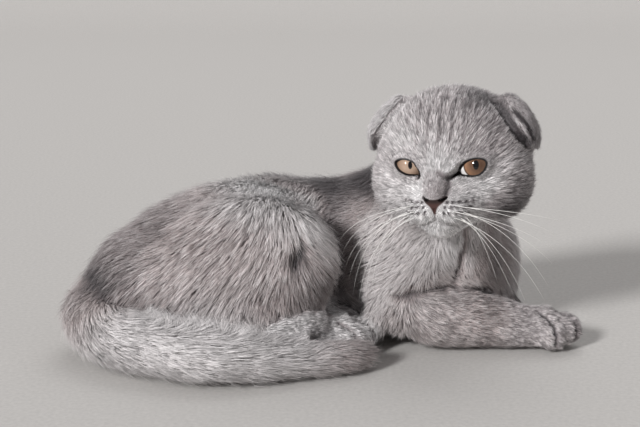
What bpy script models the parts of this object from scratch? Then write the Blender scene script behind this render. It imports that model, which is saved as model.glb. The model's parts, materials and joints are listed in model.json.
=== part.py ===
"""A young Scottish Fold cat at rest, life size, as a museum model.

The cat lies on its belly with the hips rolled towards its right side, the tail wrapped round the
right hind foot, the right foreleg stretched out and the left one folded under the breast. Its
right side faces -Y, +X runs along the body to the stretched forepaw, and +Z is up. Surfaces are
the tips of the coat. Lengths are in millimetres and become metres where a mesh is made.
"""

import math

import bmesh
import bpy
from mathutils import Euler, Matrix, Vector

MM = 0.001

# Driving dimensions
HEAD_CENTRE = (75.5, -1.0, 107.8)
HEAD_TURN_DEG = (-6.3, -3.6, -18.9)  # nose up, left ear up, towards the cat's right
EYE_CENTRE = (19.0, -24.0, -1.5)  # from the head's centre, left side
EYE_RADIUS = 9.5
EYE_POLE_DEG = (90.0, 0.0, 0.0)  # turns the ball's pole to the front
EYE_OPENING = (8.3, 9.0, 5.0)  # half width, depth and half height of the gap between the lids
EYE_OPENING_AHEAD = 2.0  # of the eye's front
EYE_SLANT_DEG = 20.0
ORBIT_CENTRE = (14.0, -42.0, -2.0)  # hollow beside the bridge of the nose, left side
ORBIT_RADII = (10.0, 10.0, 10.0)
EAR_CENTRE = (36.0, 1.0, 21.0)  # from the head's centre, left side
EAR_RADII = (18.5, 15.5, 9.2)  # half length of the fold, reach of the flap, height
EAR_TIP = (0.55, 6.0)  # narrowing of the flap at its tip, shift of the tip down the fold
EAR_TURN_DEG = (-9.0, 57.0, 0.0)
EAR_THICKNESS = 3.2
FLOOR_Z = -3.0
GAP = 0.5  # between neighbouring nodes
WELD = 0.04  # vertices this near are merged
CHEST_BELLY_X = 14.0
BELLY_RUMP_X = -52.0
WRIST_X = 106.0

# Fineness of the clay: voxel size in millimetres, rounds of smoothing, share of triangles kept
TRUNK_CLAY = (2.6, 22, 0.024)
LIMB_CLAY = (1.6, 8, 0.032)
TAIL_CLAY = (2.0, 10, 0.04)
SKULL_CLAY = (1.8, 22, 1.0)
FACE_CLAY = (1.3, 11, 0.028)
SMOOTHING = 0.5  # strength of each round
MASS_SEGMENTS = 20
BALL_SEGMENTS = 16
EAR_SEGMENTS = 14
BALLS_PER_RADIUS = 3  # along a limb

# Masses of the body: centre, radii, turn about X, Y and Z in degrees
TRUNK_MASSES = {
    "nape": ((60, 32, 86), (34, 30, 27), (0, 0, 0)),
    "throat": ((76, 12, 70), (24, 26, 26), (0, 0, 0)),
    "withers": ((36, 44, 66), (42, 32, 30), (0, 0, 0)),
    "back": ((4, 44, 58), (48, 34, 32), (0, 0, 0)),
    "ribcage": ((30, 42, 42), (58, 40, 48), (0, 0, -6)),
    "breast": ((78, 24, 42), (32, 34, 47), (0, 0, -25)),
    "right_shoulder": ((50, 5, 52), (30, 23, 40), (0, -10, 0)),
    "right_upper_arm": ((46, -4, 32), (24, 18, 32), (0, -14, 0)),
    "left_shoulder": ((92, 44, 36), (33, 26, 42), (0, 0, 0)),
    "belly": ((-22, 42, 37), (62, 40, 44), (0, 0, 0)),
    "loin": ((-24, 38, 60), (52, 32, 33), (0, 4, 0)),
    "pelvis": ((-60, 14, 43), (68, 46, 48), (0, -25, 0)),
    "croup": ((-82, 12, 49), (35, 34, 34), (0, 0, 0)),
    "rump": ((-97, 6, 35), (43, 42, 37), (0, -30, 0)),
    "tail_root": ((-116, 0, 23), (29, 32, 28), (0, 0, 0)),
    "right_thigh": ((-44, -14, 47), (54, 30, 46), (0, -16, 0)),
    "right_knee": ((-13, -20, 55), (24, 20, 33), (0, -10, 0)),
    "right_shin": ((-34, -28, 22), (42, 18, 20), (0, 8, 0)),
    "left_thigh": ((-50, 54, 31), (46, 24, 36), (0, -10, 0)),
    "left_knee": ((-14, 62, 24), (24, 20, 28), (0, 0, 0)),
}

# Masses of the head, from its centre
SKULL_MASSES = {
    "cranium": ((0, 3, 4), (45, 41, 40), (0, 0, 0)),
    "right_cheek": ((-23.5, -2, -10), (24.5, 29, 26), (0, 0, 0)),
    "left_cheek": ((23.5, -2, -10), (24.5, 29, 26), (0, 0, 0)),
    "muzzle": ((0, -21, -22), (25, 22, 17), (0, 0, 0)),
    "nape": ((0, 20, -6), (36, 26, 32), (0, 0, 0)),
}
FACE_MASSES = {
    "right_pad": ((-7.2, -33.5, -24.5), (12.5, 13, 9.5), (0, 0, 0)),
    "left_pad": ((7.2, -33.5, -24.5), (12.5, 13, 9.5), (0, 0, 0)),
    "bridge": ((0, -29, -5), (10, 12.5, 18), (-10, 0, 0)),
    "mid_face": ((0, -23, -14), (25, 17.5, 13), (0, 0, 0)),
    "nose": ((-0.5, -37.5, -15.5), (8.2, 12, 9.6), (0, 0, 0)),
    "chin": ((0, -28, -33), (12, 11.5, 8.5), (0, 0, 0)),
}

# Limbs: points along the middle, with the radius there
TAIL_PATH = [
    ((-108, 14, 28), 19),
    ((-128, -10, 21), 20.8),
    ((-112, -38, 15.5), 19.5),
    ((-92, -52, 14.6), 18.6),
    ((-64, -64, 14.2), 18.2),
    ((-37, -64, 12), 15.8),
    ((-10, -57, 9.5), 13.4),
    ((10, -51, 8.4), 12.3),
    ((22, -43, 7.5), 10.8),
]
RIGHT_FOREARM_PATH = [
    ((52, -4, 24), 18),
    ((66, -4, 16.5), 18.6),
    ((80, -3, 14.8), 18.2),
    ((100, -3, 12.6), 16),
    ((118, -3, 10.2), 13.6),
    ((129, -3, 10), 13.2),
]
LEFT_FOREARM_PATH = [((66, 62, 16), 18), ((86, 58, 12), 15), ((102, 44, 9.5), 12.5)]
RIGHT_FOOT_PATH = [((-44, -30, 10), 13), ((-14, -25, 9), 12.5), ((11, -16, 9.5), 12.5)]
LEFT_FOOT_PATH = [((-40, 6, 11), 14), ((-18, 4, 11), 13.5), ((1, 3, 12.5), 13.5)]
# Toes from a paw's ball, outer toe first: centre, radii
TOES = [
    ((4, -9.5, -3), (11, 6.2, 9.5)),
    ((12, -4, -1.5), (11, 6.2, 10)),
    ((14, 4, -1.5), (10.5, 6.2, 10)),
    ((9, 10.5, -2.5), (10, 6, 9.5)),
]

# Nodes cut from the trunk, in this order: centre and radii of the ellipsoid that holds each
TRUNK_REGIONS = {
    "neck": ((68, 24, 100), (44, 42, 32)),
    "thigh_right": ((-38, -42, 54), (64, 42, 54)),
    "thigh_left": ((-44, 84, 30), (58, 38, 54)),
    "upper_arm_right": ((44, -20, 42), (34, 28, 48)),
    "upper_arm_left": ((94, 76, 34), (40, 34, 50)),
}

TAIL_CUTS = (2, 4, 6)  # places of the tail's path where it is parted

# Finishes: base colour and roughness
COAT = ((0.33, 0.32, 0.33), 0.9)
EYE = ((0.55, 0.30, 0.10), 0.1)
SHARP_DEG = 50.0  # edges sharper than this stay sharp


def turned(centre, turn=(0, 0, 0)):
    """A place and a turn in degrees, as a matrix in millimetres."""
    angles = Euler([math.radians(angle) for angle in turn])
    return Matrix.Translation(centre) @ angles.to_matrix().to_4x4()


HEAD_FRAME = turned(HEAD_CENTRE, HEAD_TURN_DEG)


def add_mass(clay, centre, radii, turn=(0, 0, 0), frame=Matrix(), segments=MASS_SEGMENTS):
    """Adds an ellipsoid to a bmesh."""
    place = frame @ turned(centre, turn) @ Matrix.Diagonal((*radii, 1))
    bmesh.ops.create_uvsphere(
        clay,
        u_segments=segments,
        v_segments=segments // 2,
        radius=1,
        matrix=Matrix.Scale(MM, 4) @ place,
    )


def add_masses(clay, masses, frame=Matrix()):
    """Adds a table of ellipsoids to a bmesh."""
    for centre, radii, turn in masses.values():
        add_mass(clay, centre, radii, turn, frame)


def curve_through(points):
    """Places and radii along a smooth curve through ((x, y, z), radius) points."""
    rows = [Vector((*place, radius)) for place, radius in points]
    ends = [2 * rows[0] - rows[1], *rows, 2 * rows[-1] - rows[-2]]
    found = []
    for before, a, b, after in zip(ends, ends[1:], ends[2:], ends[3:]):
        count = max(2, round(BALLS_PER_RADIUS * (b - a).length / a[3]))
        for i in range(count):
            t = i / count
            linear = (b - before) * t
            square = (2 * before - 5 * a + 4 * b - after) * t**2
            cubic = (3 * a - before - 3 * b + after) * t**3
            found.append(a + 0.5 * (linear + square + cubic))
    found.append(rows[-1])
    return [(Vector(row[:3]), row[3]) for row in found]


def add_limb(clay, points):
    """Adds a row of overlapping balls along a smooth curve."""
    for place, radius in curve_through(points):
        add_mass(clay, place, (radius, radius, radius), segments=BALL_SEGMENTS)


def add_toes(clay, points):
    """Adds the toes in front of a limb's last ball, along its last stretch."""
    end, before = Vector(points[-1][0]), Vector(points[-2][0])
    heading = math.degrees(math.atan2(end.y - before.y, end.x - before.x))
    for centre, radii in TOES:
        add_mass(clay, centre, radii, frame=turned(end, (0, 0, heading)))


def new_object(name, clay):
    """Makes an object of a bmesh and frees it."""
    mesh = bpy.data.meshes.new(name)
    clay.to_mesh(mesh)
    clay.free()
    obj = bpy.data.objects.new(name, mesh)
    bpy.context.scene.collection.objects.link(obj)
    return obj


def apply_modifiers(obj):
    """Replaces the object's mesh by its evaluated one."""
    graph = bpy.context.evaluated_depsgraph_get()
    mesh = bpy.data.meshes.new_from_object(obj.evaluated_get(graph))
    obj.modifiers.clear()
    obj.data = mesh
    return obj


def fused(name, clay, fineness):
    """Fuses the shells of a bmesh into one smooth closed mesh object."""
    voxel, rounds, share = fineness
    obj = new_object(name, clay)
    fuse = obj.modifiers.new("Fuse", "REMESH")
    fuse.mode = "VOXEL"
    fuse.voxel_size = voxel * MM
    smooth = obj.modifiers.new("Smooth", "SMOOTH")
    smooth.factor = SMOOTHING
    smooth.iterations = rounds
    if share < 1:
        thin = obj.modifiers.new("Thin", "DECIMATE")
        thin.ratio = share
    return apply_modifiers(obj)


def boolean(obj, other, operation):
    """Applies a Boolean of one object and another."""
    change = obj.modifiers.new("Boolean", "BOOLEAN")
    change.operation = operation
    change.object = other
    apply_modifiers(obj)


def copied(obj, name):
    """A copy of an object with its own mesh."""
    copy = bpy.data.objects.new(name, obj.data.copy())
    bpy.context.scene.collection.objects.link(copy)
    return copy


def swollen(obj, by):
    """A copy of an object that stands out by a distance in millimetres."""
    copy = copied(obj, "swollen")
    swell = copy.modifiers.new("Swell", "DISPLACE")
    swell.strength = by * MM
    swell.mid_level = 0
    return apply_modifiers(copy)


def boxes_meet(a, b):
    """Whether the bounding boxes of two meshes overlap."""
    ranges = [
        [(min(v.co[i] for v in o.data.vertices), max(v.co[i] for v in o.data.vertices)) for i in range(3)]
        for o in (a, b)
    ]
    return all(p[0] <= q[1] and q[0] <= p[1] for p, q in zip(*ranges))


def keep_largest(obj):
    """Removes the crumbs that a cut leaves beside the main body."""
    mesh = bmesh.new()
    mesh.from_mesh(obj.data)
    bmesh.ops.remove_doubles(mesh, verts=mesh.verts, dist=WELD * MM)
    islands, seen = [], set()
    for start in mesh.verts:
        if start in seen:
            continue
        island, todo = set(), [start]
        while todo:
            vert = todo.pop()
            if vert in island:
                continue
            island.add(vert)
            todo.extend(edge.other_vert(vert) for edge in vert.link_edges)
        seen |= island
        islands.append(island)
    main_island = max(islands, key=len)
    crumbs = [vert for vert in mesh.verts if vert not in main_island]
    bmesh.ops.delete(mesh, geom=crumbs, context="VERTS")
    mesh.to_mesh(obj.data)
    mesh.free()


def cut_by(obj, others):
    """Cuts each other solid, with the gap, out of an object."""
    for other in others:
        if boxes_meet(obj, other):
            cutter = swollen(other, GAP)
            boolean(obj, cutter, "DIFFERENCE")
            bpy.data.objects.remove(cutter)
    keep_largest(obj)


def half(obj, name, point, normal, keep_front, gap=GAP):
    """The part of an object before or behind a plane, half the gap away from it."""
    side = Vector(normal).normalized()
    place = Vector(point) + side * (gap / 2 if keep_front else -gap / 2)
    mesh = bmesh.new()
    mesh.from_mesh(obj.data)
    found = bmesh.ops.bisect_plane(
        mesh,
        geom=[*mesh.verts, *mesh.edges, *mesh.faces],
        plane_co=place * MM,
        plane_no=side,
        clear_inner=keep_front,
        clear_outer=not keep_front,
    )
    rim = [item for item in found["geom_cut"] if isinstance(item, bmesh.types.BMEdge)]
    bmesh.ops.triangle_fill(mesh, edges=rim, use_beauty=True)
    bmesh.ops.recalc_face_normals(mesh, faces=mesh.faces)
    return new_object(name, mesh)


def split(obj, names, cuts):
    """Parts an object at (point, normal) planes, in order, and removes it."""
    rest, found = obj, []
    for name, (point, normal) in zip(names, cuts):
        found.append(half(rest, name, point, normal, False))
        beyond = half(rest, "rest", point, normal, True)
        bpy.data.objects.remove(rest)
        rest = beyond
    rest.name = names[-1]
    return [*found, rest]


def region(rest, name, centre, radii):
    """Takes the part of an object inside an ellipsoid out as a node of its own."""
    clay = bmesh.new()
    add_mass(clay, centre, radii)
    holder = new_object("holder", clay)
    clay = bmesh.new()
    add_mass(clay, centre, [radius + GAP for radius in radii])
    wider = new_object("wider", clay)
    node = copied(rest, name)
    boolean(node, holder, "INTERSECT")
    boolean(rest, wider, "DIFFERENCE")
    bpy.data.objects.remove(holder)
    bpy.data.objects.remove(wider)
    keep_largest(node)
    return node


def make_eye(side, sign):
    """An eyeball."""
    clay = bmesh.new()
    centre = (sign * EYE_CENTRE[0], *EYE_CENTRE[1:])
    add_mass(clay, centre, [EYE_RADIUS] * 3, EYE_POLE_DEG, HEAD_FRAME, BALL_SEGMENTS)
    return new_object(f"eye_{side}", clay)


def make_head(eyes):
    """The skull in soft clay, the finer face on it, and the openings of the eyes."""
    clay = bmesh.new()
    add_masses(clay, SKULL_MASSES, HEAD_FRAME)
    skull = fused("skull", clay, SKULL_CLAY)
    for sign in (-1, 1):
        clay = bmesh.new()
        add_mass(clay, (sign * ORBIT_CENTRE[0], *ORBIT_CENTRE[1:]), ORBIT_RADII, frame=HEAD_FRAME)
        orbit = new_object("orbit", clay)
        boolean(skull, orbit, "DIFFERENCE")
        bpy.data.objects.remove(orbit)
    clay = bmesh.new()
    add_masses(clay, FACE_MASSES, HEAD_FRAME)
    clay.from_mesh(skull.data)
    bpy.data.objects.remove(skull)
    head = fused("head", clay, FACE_CLAY)
    for sign in (-1, 1):
        clay = bmesh.new()
        front = EYE_CENTRE[1] - EYE_RADIUS - EYE_OPENING_AHEAD
        centre = (sign * EYE_CENTRE[0], front, EYE_CENTRE[2])
        slant = (0, -sign * EYE_SLANT_DEG, 0)
        add_mass(clay, centre, EYE_OPENING, slant, HEAD_FRAME, BALL_SEGMENTS)
        opening = new_object("opening", clay)
        boolean(head, opening, "DIFFERENCE")
        bpy.data.objects.remove(opening)
    cut_by(head, eyes)
    return head


def make_ear(side, sign, head):
    """A folded ear: a thick-walled dome along the fold, open below its front rim."""
    x, y, z = EAR_CENTRE
    lean, slope, sweep = EAR_TURN_DEG
    clay = bmesh.new()
    add_mass(clay, (0, 0, 0), EAR_RADII, segments=EAR_SEGMENTS)
    narrowing, drop = EAR_TIP
    for vert in clay.verts:
        if vert.co.y < 0:
            reach = (vert.co.y / (EAR_RADII[1] * MM)) ** 2
            vert.co.x = vert.co.x * (1 - narrowing * reach) + sign * drop * MM * reach
    bmesh.ops.bisect_plane(
        clay,
        geom=[*clay.verts, *clay.edges, *clay.faces],
        plane_co=(0, 0, 0),
        plane_no=(0, 0, 1),
        clear_inner=True,
    )
    ear = new_object(f"ear_{side}", clay)
    wall = ear.modifiers.new("Wall", "SOLIDIFY")
    wall.thickness = EAR_THICKNESS * MM
    wall.offset = -1
    apply_modifiers(ear)
    place = HEAD_FRAME @ turned((sign * x, y, z), (lean, sign * slope, sign * sweep))
    place.translation *= MM
    ear.data.transform(place)
    cut_by(ear, [head])
    return ear


def make_limb(name, points, fineness=LIMB_CLAY, toes=False):
    """A limb along its path, with or without toes at its end."""
    clay = bmesh.new()
    add_limb(clay, points)
    if toes:
        add_toes(clay, points)
    return fused(name, clay, fineness)


def make_trunk(solid_limbs):
    """The trunk as one body, parted into its nodes."""
    clay = bmesh.new()
    add_masses(clay, TRUNK_MASSES)
    rest = fused("rest", clay, TRUNK_CLAY)
    cut_by(rest, solid_limbs)
    nodes = [region(rest, name, *shape) for name, shape in TRUNK_REGIONS.items()]
    keep_largest(rest)
    cuts = [((BELLY_RUMP_X, 0, 0), (1, 0, 0)), ((CHEST_BELLY_X, 0, 0), (1, 0, 0))]
    return [*nodes, *split(rest, ["rump", "belly", "chest"], cuts)]


def split_tail(tail):
    """Parts the tail into four lengths across its curve."""
    places = [Vector(place) for place, _ in TAIL_PATH]
    cuts = [(places[i], places[i + 1] - places[i - 1]) for i in TAIL_CUTS]
    return split(tail, ["tail_root", "tail_bend", "tail_middle", "tail_tip"], cuts)


def rest_on_floor(obj):
    """Cuts a flat where an object reaches below the floor."""
    if min(vert.co.z for vert in obj.data.vertices) > FLOOR_Z * MM:
        return obj
    name = obj.name
    obj.name = "sunk"
    flat = half(obj, name, (0, 0, FLOOR_Z), (0, 0, 1), True, gap=0)
    bpy.data.objects.remove(obj)
    return flat


def recentre(parts):
    """Moves the parts so that the origin lies under the middle of their bounding box."""
    places = [vert.co for obj in parts for vert in obj.data.vertices]
    low = Vector([min(place[i] for place in places) for i in range(3)])
    high = Vector([max(place[i] for place in places) for i in range(3)])
    shift = Vector((-(low.x + high.x) / 2, -(low.y + high.y) / 2, -low.z))
    for obj in parts:
        obj.data.transform(Matrix.Translation(shift))


def finish(obj, group):
    """Gives a part its material, shading and collection."""
    base, roughness = EYE if obj.name.startswith("eye") else COAT
    material = bpy.data.materials.new(obj.name)
    material.use_nodes = True
    shader = material.node_tree.nodes["Principled BSDF"]
    shader.inputs["Base Color"].default_value = (*base, 1)
    shader.inputs["Roughness"].default_value = roughness
    obj.data.materials.clear()
    obj.data.materials.append(material)
    obj.data.shade_smooth()
    obj.data.set_sharp_from_angle(angle=math.radians(SHARP_DEG))
    bpy.context.scene.collection.objects.unlink(obj)
    group.objects.link(obj)


def main():
    """Builds the cat."""
    for obj in list(bpy.data.objects):
        bpy.data.objects.remove(obj)
    eyes = [make_eye("right", -1), make_eye("left", 1)]
    head = make_head(eyes)
    ears = [make_ear("right", -1, head), make_ear("left", 1, head)]
    right_arm = make_limb("right_arm", RIGHT_FOREARM_PATH, toes=True)
    right_foot = make_limb("hind_foot_right", RIGHT_FOOT_PATH, toes=True)
    tail = make_limb("tail", TAIL_PATH, TAIL_CLAY)
    left_foot = make_limb("hind_foot_left", LEFT_FOOT_PATH, toes=True)
    left_arm = make_limb("forearm_left", LEFT_FOREARM_PATH, toes=True)
    limbs = [head, right_arm, right_foot, tail, left_foot, left_arm]
    for i, limb in enumerate(limbs):
        cut_by(limb, limbs[:i])
    trunk = make_trunk(limbs)
    parts = [
        *eyes,
        head,
        *ears,
        *split(right_arm, ["forearm_right", "paw_right"], [((WRIST_X, 0, 0), (1, 0, 0))]),
        right_foot,
        *split_tail(tail),
        left_foot,
        left_arm,
        *trunk,
    ]
    parts = [rest_on_floor(obj) for obj in parts]
    recentre(parts)
    group = bpy.data.collections.new("scottish_fold_cat")
    bpy.context.scene.collection.children.link(group)
    for obj in parts:
        finish(obj, group)


main()
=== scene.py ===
"""The looks of a young Scottish Fold cat at rest: skin, eyes, nose, whiskers and a coat of fine tufts.

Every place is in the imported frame, in metres. Places on the body are written in millimetres from the
point that the cat was laid out from, and places on the face in millimetres from the head's centre, with
x to the cat's left, y to the back of its head and z up.
"""

import json
import math

import bmesh
import bpy
import numpy as np
from bpy.props import FloatProperty, FloatVectorProperty, IntProperty, PointerProperty, StringProperty
from mathutils import Euler, Matrix, Vector
from mathutils.bvhtree import BVHTree
from mathutils.kdtree import KDTree

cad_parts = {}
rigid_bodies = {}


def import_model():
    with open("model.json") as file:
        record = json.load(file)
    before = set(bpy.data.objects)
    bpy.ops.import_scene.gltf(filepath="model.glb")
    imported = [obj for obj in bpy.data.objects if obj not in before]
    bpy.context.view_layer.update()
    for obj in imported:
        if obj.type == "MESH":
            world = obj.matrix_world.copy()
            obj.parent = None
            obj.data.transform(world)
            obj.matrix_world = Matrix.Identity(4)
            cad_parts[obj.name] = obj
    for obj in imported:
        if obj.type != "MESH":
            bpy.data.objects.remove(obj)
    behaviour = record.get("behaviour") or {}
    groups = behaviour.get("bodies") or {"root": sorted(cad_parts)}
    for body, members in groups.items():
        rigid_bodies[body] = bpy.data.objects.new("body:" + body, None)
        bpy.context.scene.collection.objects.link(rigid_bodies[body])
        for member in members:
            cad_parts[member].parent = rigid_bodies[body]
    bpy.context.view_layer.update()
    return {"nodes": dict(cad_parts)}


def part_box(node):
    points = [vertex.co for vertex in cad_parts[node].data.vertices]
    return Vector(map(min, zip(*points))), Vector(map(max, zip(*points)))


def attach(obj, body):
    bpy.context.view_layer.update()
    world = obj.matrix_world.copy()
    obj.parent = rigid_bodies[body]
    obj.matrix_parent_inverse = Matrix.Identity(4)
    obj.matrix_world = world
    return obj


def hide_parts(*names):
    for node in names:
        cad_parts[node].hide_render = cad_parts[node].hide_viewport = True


bl_info = {
    "name": "Resting Fold-Eared Cat",
    "version": (1, 0, 0),
    "blender": (4, 5, 0),
    "location": "3D View > Sidebar > Cat",
    "description": "Models the skin, face and coat of a life-size resting cat on its solid frame",
    "category": "Object",
}

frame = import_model()
MM = 0.001
BODY = "root"

# Driving dimensions of the head, as in the solids
HEAD_TURN_DEG = (-6.3, -3.6, -18.9)
HEAD_IN_LAYOUT = (75.5, -1.0, 107.8)
EYE_CENTRE = (19.0, -24.0, -1.5)
EYE_RADIUS = 9.5
EYES = ("eye_right", "eye_left")
EARS = ("ear_right", "ear_left")
FLESH = tuple(name for name in frame["nodes"] if name not in EYES + EARS)


def middle(node):
    """The middle of a node's box."""
    low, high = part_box(node)
    return (np.array(low) + np.array(high)) / 2


HEAD_AXES = np.array(Euler([math.radians(angle) for angle in HEAD_TURN_DEG]).to_matrix())
BETWEEN_EYES = np.array((0.0, *EYE_CENTRE[1:]))
HEAD_CENTRE = (middle("eye_right") + middle("eye_left")) / 2 - HEAD_AXES @ BETWEEN_EYES * MM
LAYOUT_ORIGIN = HEAD_CENTRE - np.array(HEAD_IN_LAYOUT) * MM

# Coat of each node: depth, tuft length, tuft width (all mm), tufts for each square mm, warmth, darkness, speckle
# The darkness column is partly the coat's own tone and partly painted: painted shade on the neck, belly and rump, and
# painted light on the hind feet, which lie in shade between thigh and tail.
COAT_OF = {
    "head": (2.8, 6.0, 0.27, 3.3, 0.35, -0.15, 1.9),
    "neck": (4.2, 10.5, 0.34, 2.0, 0.6, 0.35, 1.1),
    "chest": (4.0, 7.8, 0.32, 2.7, 0.85, -0.6, 0.3),
    "belly": (4.2, 10.5, 0.34, 1.3, 0.6, 0.4, 1.1),
    "rump": (4.4, 11.0, 0.34, 1.85, 0.8, 0.5, 1.2),
    "tail": (4.6, 12.5, 0.34, 2.3, 0.7, -0.65, 0.9),
    "upper": (3.7, 8.2, 0.32, 2.4, 0.85, -0.45, 0.45),
    "forearm": (2.4, 5.6, 0.32, 3.0, 0.8, -0.1, 1.6),
    "paw": (1.5, 3.2, 0.28, 3.8, 0.4, -0.1, 2.6),
    "thigh": (4.2, 10.5, 0.34, 2.4, 0.7, -0.05, 1.2),
    "hind": (1.8, 4.2, 0.30, 3.4, 0.35, -0.75, 1.9),
    "ear": (1.3, 4.3, 0.28, 2.9, 0.35, -0.1, 1.9),
}
# The same for the smoothing of each node's skin, as a share of the full smoothing
FIRM = {"head": 0.6, "paw": 0.25, "hind": 0.25, "forearm": 0.5, "ear": 0.1}

# Coat pieces, by their nodes
PIECES = {
    "coat_face_right": ("head", "ear_right", "ear_left"),
    "coat_face_left": ("head", "ear_right", "ear_left"),
    "coat_crown": ("head", "ear_right", "ear_left"),
    "coat_neck": ("neck", "upper_arm_left"),
    "coat_chest": ("chest",),
    "coat_shoulder": ("upper_arm_right",),
    "coat_belly": ("belly",),
    "coat_rump": ("rump",),
    "coat_thigh_right": ("thigh_right",),
    "coat_thigh_left": ("thigh_left",),
    "coat_tail": ("tail_root", "tail_bend", "tail_middle", "tail_tip"),
    "coat_forelegs": ("forearm_right", "paw_right", "forearm_left"),
    "coat_hind_feet": ("hind_foot_right", "hind_foot_left"),
}

# Feet: place of the ball in front of which the toes stand, and the way that they point, in degrees
FEET = {
    "paw_right": ((129, -3, 10), 0),
    "forearm_left": ((102, 44, 9.5), -41),
    "hind_foot_right": ((11, -16, 9.5), 20),
    "hind_foot_left": ((1, 3, 12.5), -3),
}
# Clefts between the toes, from each ball: x to the front, z up
TOE_CLEFTS = [
    [(5.5, -14, -8), (5, -13, -1), (2, -10, 6), (-4, -7, 11)],
    [(17, -7, -7), (17, -5, 0), (13, -2.5, 7), (6, -1.5, 12)],
    [(23, 2, -7), (22, 2, 1), (17, 2.5, 8), (9, 2.5, 12)],
    [(17, 9, -7), (15, 9, 1), (11, 8, 7), (5, 7, 11)],
]
# Height of the right hind foot's top, under the thigh that lies over it, at places along x
FOOT_TOP = [(-38, 20), (-32, 24), (-22, 27.5), (-11, 29.7), (0, 31), (12, 31)]

# Other creases in the coat: the places along each
CREASES = {
    "breast": [(83, -8, 72), (82.5, -5.5, 63), (81.5, -4.5, 58), (80.5, -4, 52), (77.5, -1, 46), (75, -5, 40)],
    "forearm_top": [(46, -17, 33), (53, -16, 34.5), (60, -13, 35.5), (69, -9, 35), (85, -4, 34), (92, 0, 31.5), (100, 7, 27.5)],
    "flank_notch": [(-12, -32, 71), (-12.5, -32, 66), (-13.8, -31.6, 61), (-14.4, -31.3, 57)],
    "tail_fold": [(-118, -30, 36), (-107, -33, 32.5), (-100, -34, 30.4), (-93, -31, 28), (-86, -28, 25)],
    "foot_top": [(-40, -41, 17), (-32, -39.5, 22), (-19.5, -36.5, 27.7), (-5.6, -30, 29.3), (3, -24, 29)],
}
CREASE_DEPTH = 3.4
CREASE_WIDTH = 2.6
CLEFT_DEPTH = 2.2
CLEFT_WIDTH = 1.2

# The lie of the coat: each run of places is passed in the direction in which the hair points
LIE = {
    "spine": [(62, 30, 112), (36, 44, 98), (0, 44, 92), (-40, 34, 90), (-80, 14, 80), (-112, 4, 56), (-130, -6, 34)],
    "left_side": [(100, 74, 62), (60, 84, 52), (0, 86, 48), (-50, 80, 42), (-92, 50, 38), (-122, 20, 30)],
    "left_low": [(100, 66, 22), (40, 82, 15), (-30, 80, 12), (-80, 60, 12), (-115, 28, 10)],
    "nape": [(92, 34, 118), (70, 46, 104), (50, 54, 90)],
    "throat": [(82, -20, 84), (84, -22, 66), (88, -18, 44)],
    "left_breast": [(92, 0, 72), (104, 8, 48), (114, 16, 26)],
    "left_shoulder": [(104, 34, 86), (118, 50, 60), (116, 62, 30)],
    "right_shoulder": [(72, -24, 72), (50, -26, 56), (26, -14, 42), (10, -4, 34)],
    "right_elbow": [(60, -26, 48), (42, -24, 30), (32, -18, 10)],
    "ribs": [(40, 2, 88), (16, 4, 76), (0, 4, 60), (-8, 8, 40)],
    "hip_top": [(-44, 36, 92), (-44, 22, 93), (-46, 8, 95), (-56, -12, 93), (-72, -22, 84), (-92, -22, 72), (-110, -17, 56)],
    "hip": [(-34, 36, 91), (-34, 20, 93), (-36, 4, 97), (-42, -20, 94), (-54, -36, 83), (-74, -40, 66), (-92, -37, 46)],
    "hip_low": [(-28, 36, 90), (-28, 18, 92), (-28, 2, 98), (-32, -26, 92), (-38, -43, 77), (-52, -48, 60), (-72, -47, 40), (-82, -45, 24)],
    "thigh": [(-21, 35, 90), (-21, 18, 91), (-21, 2, 98), (-24, -28, 92), (-28, -45, 74), (-38, -51, 55), (-52, -52, 38), (-63, -52, 16)],
    "low_thigh": [(-16, 12, 88), (-16, -4, 92), (-17, -20, 95), (-17, -40, 80), (-18, -48, 62), (-25, -51, 46), (-34, -53, 33), (-42, -53, 18)],
    "knee_top": [(-12, 34, 88), (-11, 18, 88), (-10, 4, 95), (-6, -24, 91), (2, -35, 81), (9, -33, 70), (13, -27, 58)],
    "knee": [(-14, -18, 94), (-11, -38, 82), (-2, -41, 71), (6, -36, 60), (12, -28, 46)],
    "notch": [(-14, -43, 74), (-9, -45, 66), (1, -43, 57), (9, -36, 47), (12, -30, 36)],
    "under_notch": [(-12, -47, 56), (-8, -47, 44), (-4, -44, 32)],
    "crown": [(77, 4, 152), (84, 22, 147), (91, 38, 130), (92, 46, 110), (86, 52, 92)],
    "left_nape": [(117, -6, 124), (118, 16, 118), (110, 34, 108), (102, 46, 92)],
    "right_nape": [(34, 16, 124), (42, 30, 118), (58, 42, 106), (60, 46, 92)],
    "stern": [(-112, -18, 58), (-130, -22, 40), (-138, -26, 22), (-136, -32, 6)],
    "tail": [(-132, -14, 24), (-114, -40, 16), (-92, -54, 15), (-64, -66, 14), (-37, -66, 12), (-10, -58, 10), (28, -42, 8)],
    "tail_low": [(-136, -24, 18), (-118, -50, 8), (-90, -66, 4), (-60, -76, 3)],
    "right_forearm": [(52, -18, 30), (76, -22, 20), (104, -18, 13), (128, -14, 8)],
    "right_wrist": [(58, -4, 40), (84, -4, 32), (110, -3, 26), (142, -3, 12)],
    "left_forearm": [(66, 66, 22), (86, 60, 16), (108, 44, 9)],
    "right_foot": [(-44, -44, 18), (-14, -38, 18), (8, -28, 18), (24, -16, 8)],
    "left_foot": [(-40, 0, 20), (-14, 0, 22), (14, 2, 14)],
}
OWN_SHARE = 0.45  # how much a tuft is lit by its own form rather than by the body's, as plush is
LIE_REACH = 10.0  # mm at which a run's pull has faded to a third
WHORL = (-14, -33, 63)  # the hair round this place points away from it
WHORL_REACH = 8.0
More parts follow.
